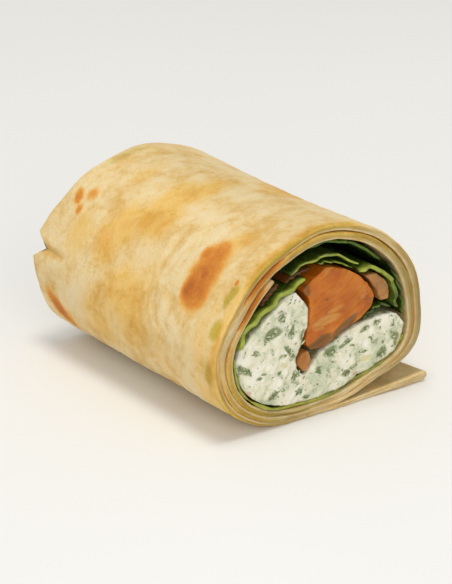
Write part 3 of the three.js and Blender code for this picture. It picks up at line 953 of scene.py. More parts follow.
@dataclass
class Flatbread:
    """One sheet of flatbread, from its flat tail round the fillings to its inner end."""

    tail_samples: int = 24
    turn_samples: int = 900
    outer_step: float = 0.75
    inner_step: float = 1.7
    outer_degrees: float = 350.0  # how far round the fine steps of the outer turn reach
    layers: int = 4
    rows: int = 104
    row_crowding: float = 0.42
    edge_share: float = 0.6
    uneven_edge: float = 0.25
    frays: tuple[Numbers, ...] = ((0.14, 2.4, 0), (0.06, 0.9, 3), (0.3, 15, 5))  # height, wavelength, slice
    solid_steps: int = 132  # of the solid's rail, which the uneven edge is counted in
    tear_towards: float = 169.0
    tear: Numbers = (-2.0, 2.1, 1.2, 0.5, 0.0)
    tear_crease: float = 0.9
    fold_height: float = 0.24
    crease_height: float = 0.13
    arc_height: float = 0.3
    blister_height: float = 0.13
    grain_height: float = 0.045
    patch_towards: float = 145.0
    patch_along: float = 13.5
    openings: tuple[Numbers, ...] = (  # direction, reach to each side, depth, layer
        (134, 22, 0.5, 1), (146, 20, 0.4, 2), (-18, 16, 0.2, 1),
    )
    closing: float = 0.28  # how far the other gaps close
    rounding: float = 0.4
    crumb_bulge: float = 0.12
    # painted shade with some juices and oil round the cut rim, by direction, strongest on the right
    rim_shade_and_damp: Numbers = (
        0.66, 0.56, 0.38, 0.28, 0.3, 0.36, 0.4, 0.36, 0.34, 0.32, 0.4, 0.5, 0.3, 0.16, 0.3, 0.6
    )
    # painted shade on the skin's right side and top, away from the key light
    skin_shade: Numbers = (0.2, 0.2, 0.29, 0.1, 0.0, 0.0, 0.0, 0.1)  # the same for the skin
    # painted shade on the hollow's inner wall, and painted shadow on the tail under the roll
    wall_shade: float = 0.45
    tail_shade: float = 0.54
    blotches: tuple[Blotch, ...] = tuple(
        Blotch(mark, *row) for mark, rows in SKIN_MARKS.items() for row in rows
    )
    rail: Rail = field(init=False)
    turns: list[float] = field(init=False)
    patch_middle: float = field(init=False)
    tear_middle: float = field(init=False)

    def __post_init__(self) -> None:
        """Lay out the sheet's middle line."""
        join = FORM.sheet_point(0)
        samples = []
        self.turns = []
        for n in range(self.tail_samples):
            left = 1 - n / self.tail_samples
            thickness = lerp(join.z, FORM.tail_thickness, left)
            height = FORM.tail_lift * left**2 + thickness / 2
            samples.append(Vector((lerp(join.x, FORM.tail_reach, left), height, thickness)))
            self.turns.append(-left / 10)
        for n in range(self.turn_samples + 1):
            turn = FORM.turns * n / self.turn_samples
            samples.append(FORM.sheet_point(turn))
            self.turns.append(turn)
        self.rail = Rail(samples)
        self.patch_middle = self.distance_of(self.patch_towards)
        self.tear_middle = self.distance_of(self.tear_towards)

    def turn_at(self, distance: float) -> float:
        """The turn of the roll at a place on the rail.

        Args:
            distance: In mm along the rail.

        Returns:
            The turn, below 0 on the tail.
        """
        low, high = 0, len(self.turns) - 1
        while high - low > 1:
            middle = (low + high) // 2
            if self.rail.distances[middle] <= distance:
                low = middle
            else:
                high = middle
        span = self.rail.distances[high] - self.rail.distances[low]
        return lerp(self.turns[low], self.turns[high], clamp((distance - self.rail.distances[low]) / span))

    def distance_of(self, degrees: float, layer: int = 0) -> float:
        """How far along the rail a direction lies on one layer of the roll.

        Args:
            degrees: The direction, from +X towards +Z.
            layer: The layer, 0 for the outer turn.

        Returns:
            The distance in mm.
        """
        turn = ((FORM.start - degrees) / 360) % 1 + layer
        n = min(range(len(self.turns)), key=lambda k: abs(self.turns[k] - turn))
        return self.rail.distances[n]

    def edge_reach(self, distance: float, w: float) -> float:
        """How far an end of the sheet stands out at a distance along the rail.

        Args:
            distance: In mm along the rail.
            w: The share of the way along the roll.

        Returns:
            The reach past the plane of the cut, in mm.
        """
        n = distance / self.rail.length * self.solid_steps
        uneven = self.uneven_edge * (math.sin(n / 3.2) + 0.8 * math.sin(n / 1.4 + 1))
        fray = sum(height * ripple(distance / size, w * 9, place) for height, size, place in self.frays)
        if w < 0.5:
            return uneven / 2 + fray
        torn = self.tear_middle / self.rail.length * self.solid_steps
        off = min(abs(n - torn), len(self.tear) - 1.001)
        return uneven + 1.6 * fray + lerp(self.tear[int(off)], self.tear[int(off) + 1], off % 1)

    def relief(self, distance: float, along: float, turn: float) -> float:
        """How far the skin stands out: folds, creases, arcs round the toasted patch, blisters and grain.

        Args:
            distance: In mm along the rail.
            along: In mm from the cut.
            turn: The turn of the roll, since only the outer one shows its folds.

        Returns:
            The height in mm.
        """
        outer = smoothstep(turn, -0.02, 0.03) * (1 - smoothstep(turn, 0.86, 0.98))
        folds = self.fold_height * ripple(distance / 11, along / 17)
        creases = self.crease_height * (0.5 - abs(ripple(distance / 14, along / 3.4, 1, 1)) * 2.0)
        aside, off = along - self.patch_along, distance - self.patch_middle
        from_patch = math.hypot(off / 1.25, aside)
        near = smoothstep(from_patch, 5, 8) * (1 - smoothstep(from_patch, 14, 22)) * smoothstep(aside, -2, 4)
        rings = 0.45 - 2 * abs(ripple(from_patch / 1.9, math.atan2(off, aside) * 1.4, 0, 6))
        arcs = self.arc_height * near * rings
        blisters = self.blister_height * max(0.0, ripple(distance / 3.0, along / 3.0, 0, 2))
        grain = self.grain_height * ripple(distance / 1.6, along / 1.6, 0, 3)
        inward = smoothstep(along, FORM.length - 12, FORM.length - 3)
        crease = -self.tear_crease * inward * math.exp(-(((distance - self.tear_middle) / 0.9) ** 2))
        return outer * (folds + creases + arcs + blisters + crease) + grain

    def gap_change(self, degrees: float, along: float, layer: int) -> float:
        """How much wider the gap outside an inner layer is than on the solid.

        Args:
            degrees: The direction, from +X towards +Z.
            along: In mm from the cut.
            layer: The layer, 0 for the outer turn.

        Returns:
            The change in mm, less than 0 where the gap closes.
        """
        near = 1 - smoothstep(along, 1.5, 8)
        opened = 0.0
        for middle, reach, depth, opened_layer in self.openings:
            off = (degrees - middle + 180) % 360 - 180
            if layer == opened_layer:
                opened = max(opened, depth * (1 - smoothstep(abs(off), 0.35 * reach, reach)))
        closed = clamp(2.2 * ripple(degrees / 22, layer * 5.3, along / 20, 8) + 0.3, -0.4, 1)
        return near * opened - self.closing * (1 - opened) * closed

    def painted_shade_and_damp(self, turn: float, v: float, from_end: float, at_end: bool) -> float:
        """How dark a place is painted: painted shade with some juices and oil on the cut rim, painted shade
        on the skin, the hollow's wall and the tail.

        Args:
            turn: The turn of the roll, below 0 on the tail.
            v: The share of the way through the sheet, from its inner face.
            from_end: In mm from the nearer end of the roll.
            at_end: Whether the place is on a cut face.

        Returns:
            From 0 for none to 1 for the darkest.
        """
        if at_end:
            return around(self.rim_shade_and_damp, FORM.start - 360 * turn) if turn > 0 else 0.1
        if v > 0.1:
            return around(self.skin_shade, FORM.start - 360 * turn) if 0 < turn < 1 else 0.0
        if turn < 0:
            return self.tail_shade + 0.2 * ripple(turn * 60, 0.0)
        return self.wall_shade * smoothstep(from_end, 0.1, 1.2) if turn > 1.3 else 0.0

    def marks(self, distance: float, along: float, centres: list[float]) -> Vector:
        """How toasted, golden and oily the skin is at a place.

        Args:
            distance: In mm along the rail.
            along: In mm from the cut.
            centres: How far along the rail each blotch lies.

        Returns:
            The strength of each Mark.
        """
        found = [0.0, 0.0, 0.0]
        for blotch, centre in zip(self.blotches, centres):
            off = distance - centre
            aside = along - blotch.along
            reach = 1.45 * max(blotch.across_mm, blotch.along_mm)
            if abs(off) > reach or abs(aside) > reach:
                continue
            turned = math.radians(blotch.turned)
            x = (off * math.cos(turned) + aside * math.sin(turned)) / blotch.across_mm
            y = (aside * math.cos(turned) - off * math.sin(turned)) / blotch.along_mm
            amount = blotch.strength * (1 - smoothstep(math.hypot(x, y), 0.3, 1.4))
            kind = blotch.mark.value
            found[kind] = (found[kind] ** 3 + amount**3) ** (1 / 3)
        return Vector(found)

    def build(self) -> bpy.types.Object:
        """Make the rolled sheet.

        Returns:
            The piece that stands for the solid of the flatbread.
        """
        outer_end = self.distance_of(FORM.start - self.outer_degrees)
        stations = self.rail.stations(lambda d: self.outer_step if d < outer_end else self.inner_step)
        steps = len(stations) - 1
        turns = [self.turn_at(point.distance) for point in stations]
        centres = [self.distance_of(blotch.degrees, blotch.layer) for blotch in self.blotches]
        reaches = [[self.edge_reach(point.distance, w) for w in (0, 1)] for point in stations]
        block = unit_block((steps, self.layers, self.rows))
        sheet, marks = (block.verts.layers.float_vector.new(name) for name in ("sheet", "marks"))
        cut, raised, damp_and_shade = (block.verts.layers.float.new(name) for name in ("cut", "raised", "damp_and_shade"))
        for vert in block.verts:
            u, v, w = vert.co
            n = round(u * steps)
            point = stations[n]
            share = crowded(w, self.row_crowding)
            y = FORM.section_y(share, *reaches[n])
            along = y + FORM.length / 2
            from_end = min(abs(y - FORM.section_y(end, *reaches[n])) for end in (0, 1))
            rounded = 1 - 0.3 * (1 - clamp(from_end / self.rounding)) ** 2
            thickness = point.thickness * rounded * (self.edge_share if n in (0, steps) else 1)
            offset = (v - 0.5) * thickness
            height = 0.0
            if turns[n] > 0.97 and v > 0.5:
                degrees = FORM.start - 360 * turns[n]
                offset -= (2 * v - 1) * self.gap_change(degrees, along, int(turns[n] + 0.03))
            if v > 0.9:
                height = self.relief(point.distance, along, turns[n])
                offset += height
            elif v < 0.1:
                offset -= 0.05 * ripple(point.distance / 3, along / 3, 0, 5)
            y += bulge(v, w, self.crumb_bulge)
            place = point.spot + point.square * offset
            place.x -= FORM.tail_slant * share * max(0.0, -10 * turns[n]) ** 1.5
            vert[sheet] = (point.distance, along, v * point.thickness)
            vert[marks] = self.marks(point.distance, along, centres) if v > 0.3 else (0, 0, 0)
            vert[cut] = float(on_end(w) and 0.1 < v < 0.9)
            vert[raised] = height
            vert[damp_and_shade] = self.painted_shade_and_damp(turns[n], v, from_end, on_end(w))
            vert.co = FORM.bend(place.x, y, place.y)
        return add_piece("flatbread_sheet", block, [FLATBREAD])


# ------------------------------------------------------------------ the fillings


LUMP_ACROSS, LUMP_FINE, LUMP_HEIGHT = 5.2, 2.2, 0.4
FLAKE_PITCH, FLAKE_SLOPE, FLAKE_HEIGHT = 3.1, 30.0, 0.7
END_BULGE = 0.5


def lumps(x: float, z: float) -> float:
    """Lumps of soft cheese, as on the solid.

    Args:
        x: Across the section, in mm.
        z: Up the section, in mm.

    Returns:
        The height out of the cut, in mm.
    """
    swells = math.sin(TURN * (x + 0.5 * z) / LUMP_ACROSS)
    hollows = math.cos(TURN * (z - 0.4 * x) / (1.3 * LUMP_ACROSS))
    fine = math.sin(TURN * (x - 0.7 * z) / LUMP_FINE)
    return LUMP_HEIGHT * (swells * hollows + fine / 2)


def flakes(x: float, z: float) -> float:
    """Flakes of salmon, as on the solid.

    Args:
        x: Across the section, in mm.
        z: Up the section, in mm.

    Returns:
        The height out of the cut, in mm.
    """
    slope = math.radians(FLAKE_SLOPE)
    across = z * math.cos(slope) - x * math.sin(slope)
    return FLAKE_HEIGHT * ((across / FLAKE_PITCH) % 1 - 0.5)


def end_reach(u: float, v: float, relief: float) -> float:
    """How far an end of a thick filling stands out: its relief, rounded at the edge."""
    return relief + END_BULGE * min(1.0, 4 * min(u, 1 - u), 3 * min(v, 1 - v))


@dataclass
class Filling:
    """A thick filling between two matching outlines, which runs from one end to the other."""

    side_a: tuple[Numbers, ...]
    side_b: tuple[Numbers, ...]
    cells: tuple[int, int, int]
    near: float
    far: float
    relief: Callable[[float, float, int], float]
    tint: Callable[[float, float], Numbers] = lambda x, z: (0.0, 0.0, 0.0)
    crowding: float = 0.8
    wall_roughness: float = 0.22
    grown: tuple[float, float] = (-0.06, -0.06)  # past each outline, in mm

    def mesh(self) -> bmesh.types.BMesh:
        """Shape the filling.

        Returns:
            The filling's mesh, bent with the roll.
        """
        curve_a, curve_b = Curve(self.side_a), Curve(self.side_b)
        steps = self.cells[0]
        edges = [(curve_a.at(n / steps).xy, curve_b.at(n / steps).xy) for n in range(steps + 1)]
        block = unit_block(self.cells)
        tint = block.verts.layers.float_vector.new("tint")
        wall = block.verts.layers.float.new("wall")
        for vert in block.verts:
            u, v, w = vert.co
            a, b = edges[round(u * steps)]
            spot = a.lerp(b, v)
            share = crowded(w, self.crowding)
            reach = end_reach(u, v, self.relief(spot.x, spot.y, 1 if share > 0.5 else 0))
            y = FORM.section_y(share, self.near + reach, self.far + reach)
            rough = ripple(spot.x / 2.5, y / 3.5, spot.y / 2.5)
            rough += 0.6 * ripple(spot.x / 0.9, y / 2.5, spot.y / 0.9, 1)
            rough *= self.wall_roughness
            inward = (a.lerp(b, 0.5) - spot).normalized() if min(v, 1 - v) < TOUCH else Vector((0, 0))
            spot = spot + inward * (rough - self.grown[round(v)])
            vert[tint] = self.tint(spot.x, spot.y)
            # 0 on the end faces, 1 on the sides: the cream paints shade on its sides with it
            vert[wall] = smoothstep(min(share, 1 - share) * FORM.length, 0.3, 1.6)
            vert.co = FORM.bend(spot.x, y, spot.y)
        return block


@dataclass(frozen=True)
class Oval:
    """An oval of the section: a cluster of chopped herb, a stain or a change in the flesh."""

    x: float
    z: float
    half_length: float
    half_width: float
    turned: float = 0.0  # degrees from +X towards +Z
    scraps: int = 0  # of herb
    channel: int = 0  # 0 herb, 1 yellow oil, 2 salmon pink

    def amount(self, x: float, z: float, core: float, rim: float) -> float:
        """How strong the oval is at a place.

        Args:
            x: Across the section, in mm.
            z: Up the section, in mm.
            core: The share of its half sizes up to which it is full.
            rim: The share of its half sizes where it ends.

        Returns:
            From 1 in its middle to 0 past its rim.
        """
        turn = math.radians(self.turned)
        dx, dz = x - self.x, z - self.z
        along = (dx * math.cos(turn) + dz * math.sin(turn)) / self.half_length
        aside = (dz * math.cos(turn) - dx * math.sin(turn)) / self.half_width
        return 1 - smoothstep(math.hypot(along, aside), core, rim)


HERB_OVALS: tuple[Numbers, ...] = (  # each row is an Oval of the cream
    (-12, 23.6, 2.6, 1.5, 20, 9), (-19.6, 16.8, 2.6, 1, -38, 9), (-6.8, 17.9, 2.8, 0.8, -50, 6),
    (-5.5, 11.3, 1.7, 1.1, 60, 6), (-4.3, 7.6, 1.4, 0.9, 10, 4), (-16.3, 20, 1, 0.8, 0, 3),
    (-11.4, 8.6, 1.8, 0.7, 35, 4), (-9, 27, 1.6, 0.9, 60, 4), (-6.4, 22.6, 2, 0.8, 70, 4),
    (4.7, 15, 1.8, 1.2, 20, 6), (1.2, 11.6, 0.9, 0.6, -20, 2), (9, 8.3, 1.4, 0.9, 30, 4),
    (19.3, 10.8, 1.9, 1.2, 40, 5), (11, 9.6, 1.2, 0.6, 10, 3), (18, 18.8, 1.6, 0.7, 0, 4),
    (-15.6, 13.6, 0.9, 0.6, 0, 1), (-2, 5.4, 1.3, 0.5, 0, 2), (23.4, 13.2, 1.2, 2, 0, 2),
    (8.6, 15.9, 2.2, 0.6, 32, 4), (14.2, 18, 2, 0.5, 15, 3), (-3.3, 20.6, 2.6, 0.6, 88, 3),
    (-21.3, 14.5, 3.2, 0.9, -75), (-16.8, 7.6, 3.6, 0.8, -35), (-5, 2.9, 4, 0.7, -4),
    (23.4, 13, 1.4, 2.6, 0, 0, 1), (-8.3, 15, 1.4, 1, 0, 0, 1), (14.7, 10.6, 1.6, 1, 0, 0, 1),
    (-18, 10.4, 1.1, 0.8, -30, 0, 2), (12.3, 7.2, 0.9, 0.5, 20, 0, 2),
)


@dataclass
class HerbCream:
    """Herb cream cheese in a V, with scraps of herb that stand out of both its faces."""

    directions: Numbers = (186, 204, 222, 243, 268, 288, 303, 316, 328, 340, 351.5)
    left_arm: tuple[Numbers, ...] = ((-6.7, 31.4), (-12.4, 27.7), (-17.3, 23.6))
    inside: tuple[Numbers, ...] = (
        (-5.1, 31.8), (-2.3, 27.5), (-2.7, 22.5), (-4, 18.4), (-5, 15.6), (-4.7, 13), (-2.4, 10.9),
        (0.1, 13.2), (3.2, 15.6), (7, 17.4), (11.5, 18.9), (16.5, 19.8), (21.2, 20), (23.9, 19.2),
    )
    cells: tuple[int, int, int] = (230, 44, 26)
    ovals: tuple[Oval, ...] = tuple(Oval(*row) for row in HERB_OVALS)
    near: float = -0.3
    far: float = -0.4
    grown: tuple[float, float] = (0.45, 0.15)
    scraps_per_face: int = 24
    fine_scraps_per_face: int = 90
    scrap_half_depth: float = 0.55
    fine_half_depth: float = 0.06
    clump_half_depth: float = 0.12
    sunk: float = 0.1
    clump_sunk: float = 0.03

    def relief(self, x: float, z: float, side: int) -> float:
        """Lumps, curds, grains and pits of the cut face.

        Args:
            x: Across the section, in mm.
            z: Up the section, in mm.
            side: 0 at the cut, 1 at the far end.

        Returns:
            The height out of the cut, in mm.
        """
        curds = 0.6 * ripple(x / 4.6, z / 4.6, 9 * side, 4) + 0.3 * ripple(x / 2.1, z / 2.1, 9 * side, 5)
        grains = 0.14 * ripple(x / 0.95, z / 0.95, 9 * side, 7)
        pits = -0.5 * max(0.0, ripple(x / 2.3, z / 2.3, 9 * side, 6) - 0.18)
        return 0.3 * lumps(x, z) + curds + grains + pits

    def tint(self, x: float, z: float) -> Numbers:
        """What stains the cheese at a place.

        Args:
            x: Across the section, in mm.
            z: Up the section, in mm.

        Returns:
            How green, how yellow and how pink it is.
        """
        found = [0.0, 0.0, 0.0]
        for oval in self.ovals:
            found[oval.channel] = max(found[oval.channel], oval.amount(x, z, 0.4, 1.3))
        return tuple(found)

    def add_scrap(
        self,
        block: bmesh.types.BMesh,
        x: float,
        z: float,
        side: int,
        stand: float,
        half_sizes: Numbers,
        turn: float,
        tilt: float = 0.0,
    ) -> None:
        """Press one scrap of herb into a face.

        Args:
            block: The cream's mesh.
            x: Where the scrap lies across the section, in mm.
            z: Where it lies up the section, in mm.
            side: 0 at the cut, 1 at the far end.
            stand: How far its middle stands out of the plane of that end, in mm.
            half_sizes: Its half length, half depth and half width, in mm.
            turn: Its direction in the plane of the cut, in radians.
            tilt: How far it leans out of that plane, in radians.
        """
        y = FORM.length / 2 + self.far + stand if side else -FORM.length / 2 - self.near - stand
        lie = Matrix.Rotation(turn, 4, "Y") @ Matrix.Rotation(tilt, 4, "Z")
        stretch = Matrix.Diagonal((*(Vector(half_sizes) * MM), 1.0))
        made = bmesh.ops.create_icosphere(
            block, subdivisions=1, radius=1.0, matrix=Matrix.Translation(FORM.bend(x, y, z)) @ lie @ stretch
        )
        for face in {face for vert in made["verts"] for face in vert.link_faces}:
            face.material_index = 1

    def solid_random(self, state: int) -> Callable[[], float]:
        """The repeatable random numbers that the solid's scraps are laid with.

        Args:
            state: The seed.

        Returns:
            A function that gives the next number, from 0 to 1.
        """

        def draw() -> float:
            """Draw the next number.

            Returns:
                From 0 to 1.
            """
            nonlocal state
            state = (state * 1664525 + 1013904223) % 4294967296
            return state / 4294967296

        return draw

    def build(self) -> bpy.types.Object:
        """Make the cream with its herbs.

        Returns:
            The piece that stands for the solid of the cream.
        """
        outline = (*self.left_arm, *(FORM.inside_hollow(degrees, CREAM_DEPTH) for degrees in self.directions))
        filling = Filling(
            outline, self.inside, self.cells, self.near, self.far, self.relief, self.tint, grown=self.grown
        )
        block = filling.mesh()
        outside, inside = Curve(outline), Curve(self.inside)
        draw = self.solid_random(11)
        fine = random.Random(5)
        count = self.scraps_per_face
        for side in (0, 1):
            for n in range(count):
                u = lerp(0.05, 0.95, (n + 0.2 + 0.6 * draw()) / count)
                v = lerp(0.22, 0.78, ((n * 0.382) % 1) * 0.8 + 0.2 * draw())
                x, z, _ = outside.at(u).lerp(inside.at(u), v)
                stand = end_reach(u, v, self.relief(x, z, side)) - self.sunk
                length = lerp(1.4, 3.4, draw() ** 2)
                half_sizes = (length / 2, 0.4 * self.scrap_half_depth, length / 5)
                self.add_scrap(block, x, z, side, stand, half_sizes, math.pi * draw())
            for _ in range(self.fine_scraps_per_face):
                u, v = fine.uniform(0.01, 0.99), fine.uniform(0.03, 0.97)
                x, z, _ = outside.at(u).lerp(inside.at(u), v)
                stand = end_reach(u, v, self.relief(x, z, side))
                half_sizes = (fine.uniform(0.4, 1.5) / 2, self.fine_half_depth, fine.uniform(0.12, 0.26))
                turn, tilt = fine.uniform(0, math.pi), fine.uniform(-0.15, 0.15)
                self.add_scrap(block, x, z, side, stand, half_sizes, turn, tilt)
            for oval in self.ovals:
                turn = math.radians(oval.turned)
                halves = (oval.half_length, oval.half_width)
                for _ in range(oval.scraps):
                    away, aside = (fine.uniform(-0.8, 0.8) * half for half in halves)
                    x = oval.x + away * math.cos(turn) - aside * math.sin(turn)
                    z = oval.z + away * math.sin(turn) + aside * math.cos(turn)
                    stand = self.relief(x, z, side) + END_BULGE - self.clump_sunk
                    half_sizes = (fine.uniform(0.8, 2.2) / 2, self.clump_half_depth, fine.uniform(0.16, 0.34))
                    lean, tilt = fine.gauss(-turn, 0.7), fine.uniform(-0.3, 0.3)
                    self.add_scrap(block, x, z, side, stand, half_sizes, lean, tilt)
        return add_piece("herb_cream_filling", block, [CREAM, HERB])


@dataclass
class Salmon:
    """The smoked salmon: the main piece, two flakes beside it and two thin slivers over it."""

    left: tuple[Numbers, ...] = (
        (-1, 16.9), (-2.4, 19.6), (-1.7, 24), (-1.4, 29), (-2.8, 32), (-0.6, 34.2), (2.8, 36.1),
    )
    right: tuple[Numbers, ...] = (
        (2.8, 16.5), (9, 19.7), (13.6, 21.3), (17, 25.2), (13.8, 30.6), (9.8, 33.7), (5.6, 35.5),
    )
    drop_left: tuple[Numbers, ...] = ((-2.6, 11.9), (-4.1, 14.2), (-3.2, 16.4))
    drop_right: tuple[Numbers, ...] = ((-1.9, 11.9), (-0.9, 14.2), (-1.7, 16.6))
    flake_left: tuple[Numbers, ...] = ((19, 24), (18.2, 25.8), (16.4, 28.8), (14.7, 31))
    flake_right: tuple[Numbers, ...] = ((21.3, 23.8), (21.2, 26.2), (19.9, 28.8), (17.6, 31))
    left_sliver: tuple[Numbers, ...] = ((-13.9, 30.7, 1.2), (-12, 32.6, 2.0), (-9.4, 34.8, 1.6))
    upper_sliver: tuple[Numbers, ...] = ((-7.5, 34.8, 1.2), (-4, 36, 1.6), (-0.5, 36.6, 1))
    fatty: tuple[tuple[float, Oval], ...] = (
        (0.72, Oval(3.2, 23.2, 4.6, 1.5, 8)),
        (0.6, Oval(5.8, 25.2, 3.0, 0.8, 14)),
        (0.5, Oval(1.0, 21.6, 2.2, 1.0, -10)),
        (0.7, Oval(-1.6, 35.0, 1.4, 1.0)),
        (0.45, Oval(13.5, 27.5, 1.6, 2.4, 20)),
        (0.5, Oval(3.6, 35.2, 2.6, 0.9, 25)),
    )
    browned: tuple[tuple[float, Oval], ...] = (
        (0.95, Oval(1.4, 17.8, 4.6, 2.0, 22)),
        (0.85, Oval(8.2, 20.4, 5.6, 1.6, 28)),
        (0.45, Oval(15.6, 24.4, 1.4, 2.6, 30)),
        (0.7, Oval(-2.0, 31.6, 0.9, 1.8)),
        (0.8, Oval(3.3, 28.3, 0.5, 0.4)),
    )

    def flesh(self, x: float, z: float, side: int) -> float:
        """Steps from flake to flake and soft fibres.

        Args:
            x: Across the section, in mm.
            z: Up the section, in mm.
            side: 0 at the cut, 1 at the far end.

        Returns:
            The height out of the cut, in mm.
        """
        warp = 1.6 * ripple(x / 7, z / 7, 5 * side, 7)
        fibres = 0.06 * ripple(x / 3.0, (z - 0.5 * x) / 0.7, 5 * side, 8)
        soft = 0.4 * ripple(x / 5.5, z / 5.5, 5 * side, 9) + 0.14 * ripple(x / 1.7, z / 1.7, 5 * side, 3)
        return 0.32 * flakes(x, z + warp) + fibres + soft

    def tint(self, x: float, z: float) -> Numbers:
        """What the flesh is like at a place.

        Args:
            x: Across the section, in mm.
            z: Up the section, in mm.

        Returns:
            How fatty and how browned it is, and 0.
        """
        fatty, browned = (
            max(strength * oval.amount(x, z, 0.5, 1.25) for strength, oval in ovals)
            for ovals in (self.fatty, self.browned)
        )
        return (fatty, browned, 0.0)

    def build(self) -> dict[str, bpy.types.Object]:
        """Make the salmon.

        Returns:
            Each piece by the name of the solid that it stands for.
        """
        plain = {"near": -0.3, "far": -0.3, "relief": self.flesh}
        main = Filling(self.left, self.right, (120, 76, 24), tint=self.tint, **plain)
        drop = Filling(self.drop_left, self.drop_right, (40, 18, 20), grown=(0.15, 0.15), **plain)
        flake = Filling(self.flake_left, self.flake_right, (60, 22, 20), **plain)
        pieces = {
            "salmon_main": add_piece("salmon_main_flesh", main.mesh(), [SALMON]),
            "salmon_drop": add_piece("salmon_tip_flesh", drop.mesh(), [TIP_SALMON]),
            "salmon_flake": add_piece("salmon_side_flesh", flake.mesh(), [PALE_SALMON]),
        }
        for name, points in (("left", self.left_sliver), ("upper", self.upper_sliver)):
            # the slivers' dark finish is painted shade
            sheet = ThinSheet(points, near=-1.2, far=-1.0, frill=0.22, finish=DEEP_SHADE_SALMON)
            pieces[f"salmon_sliver_{name}"] = sheet.build(f"salmon_thin_{name}")
        return pieces


@dataclass
class ThinSheet:
    """A thin soft sheet through the roll, such as a leaf, rippled and with frilled ends."""

    points: tuple[Numbers, ...]
    near: float
    far: float
    finish: Finish
    wave: float = 0.0
    frill: float = 0.45
    waves: float = 2.0
    lengthwise_waves: float = 2.3
    edge_share: float = 0.6
    edge_mm: float = 0.9
    step: float = 0.35
    samples: int = 400
    layers: int = 3
    rows: int = 48
    row_crowding: float = 0.86
    thin_edge: float = 0.45  # of the thickness that the cut edge keeps
    thin_reach: float = 2.2
    edge_bulge: float = 0.1
    ruffle: float = 0.16
    ruffle_mm: float = 2.6
    seed: float = 0.0
    # edge tones: painted light, how bright the cut edge is painted along the leaf
    edge_tones: Numbers = (1.0, 1.0)  # how bright the cut edge is, from the first point to the last
    edge_fade: float = 5.0  # the higher, the nearer to the cut the brightness stays
    uneven: float = 0.0  # how much the thickness changes along the leaf

    def edge_tone(self, u: float) -> float:
        """How much painted light the cut edge gets at a share of the leaf's width.

        Args:
            u: From 0 at the first point to 1 at the last.

        Returns:
            From 0 for as dark as the blade to 1 for bright.
        """
        place = u * (len(self.edge_tones) - 1)
        first = min(int(place), len(self.edge_tones) - 2)
        return lerp(self.edge_tones[first], self.edge_tones[first + 1], place - first)

    def build(self, name: str) -> bpy.types.Object:
        """Make the sheet.

        Args:
            name: The piece's name.

        Returns:
            The piece.
        """
        curve = Curve(self.points)
        rail = Rail([curve.at(n / self.samples) for n in range(self.samples + 1)])
        stations = rail.stations(lambda _: self.step)
        steps = len(stations) - 1
        block = unit_block((steps, self.layers, self.rows))
        sheet = block.verts.layers.float_vector.new("sheet")
        cut, bright = (block.verts.layers.float.new(layer) for layer in ("cut", "bright"))
        for vert in block.verts:
            u, v, w = vert.co
            point = stations[round(u * steps)]
            distance = point.distance
            share = crowded(w, self.row_crowding)
            frill = self.frill * math.sin(TURN * (2 * self.waves * u + w))
            frill += 0.5 * self.frill * ripple(distance / 1.3, 7 * w, 0, self.seed)
            y = FORM.section_y(share, self.near + frill, self.far + frill)
            end_share = 1 - clamp(min(share, 1 - share) * FORM.length / self.thin_reach)
            thickness = point.thickness * lerp(1, self.thin_edge, end_share**2)
            thickness *= 1 + self.uneven * ripple(distance / 3.2, y / 9, 0, self.seed + 4)
            rim = min(distance, rail.length - distance)
            thickness *= lerp(self.edge_share, 1, smoothstep(rim, 0, self.edge_mm))
            phase = self.waves * distance / rail.length + self.lengthwise_waves * share
            offset = self.wave * math.sin(TURN * phase)
            ruffled = ripple(distance / self.ruffle_mm, y / (1.4 * self.ruffle_mm), 0, self.seed + 1)
            offset += self.ruffle * (0.35 + 0.65 * end_share) * ruffled
            offset += 0.05 * ripple(distance / 1.2, y / 1.6, v, self.seed + 2)
            place = point.spot + point.square * (offset + (v - 0.5) * thickness)
            y += bulge(v, w, self.edge_bulge)
            vert[sheet] = (distance, y, v * point.thickness)
            vert[cut] = end_share**self.edge_fade
            # painted light on the cut edge, spotted along it
            spotted = 0.5 * ripple(distance / 1.7, share * 9, 0, self.seed + 3)
            vert[bright] = clamp(self.edge_tone(u) + spotted)
            vert.co = FORM.bend(place.x, y, place.y)
        return add_piece(name, block, [self.finish])


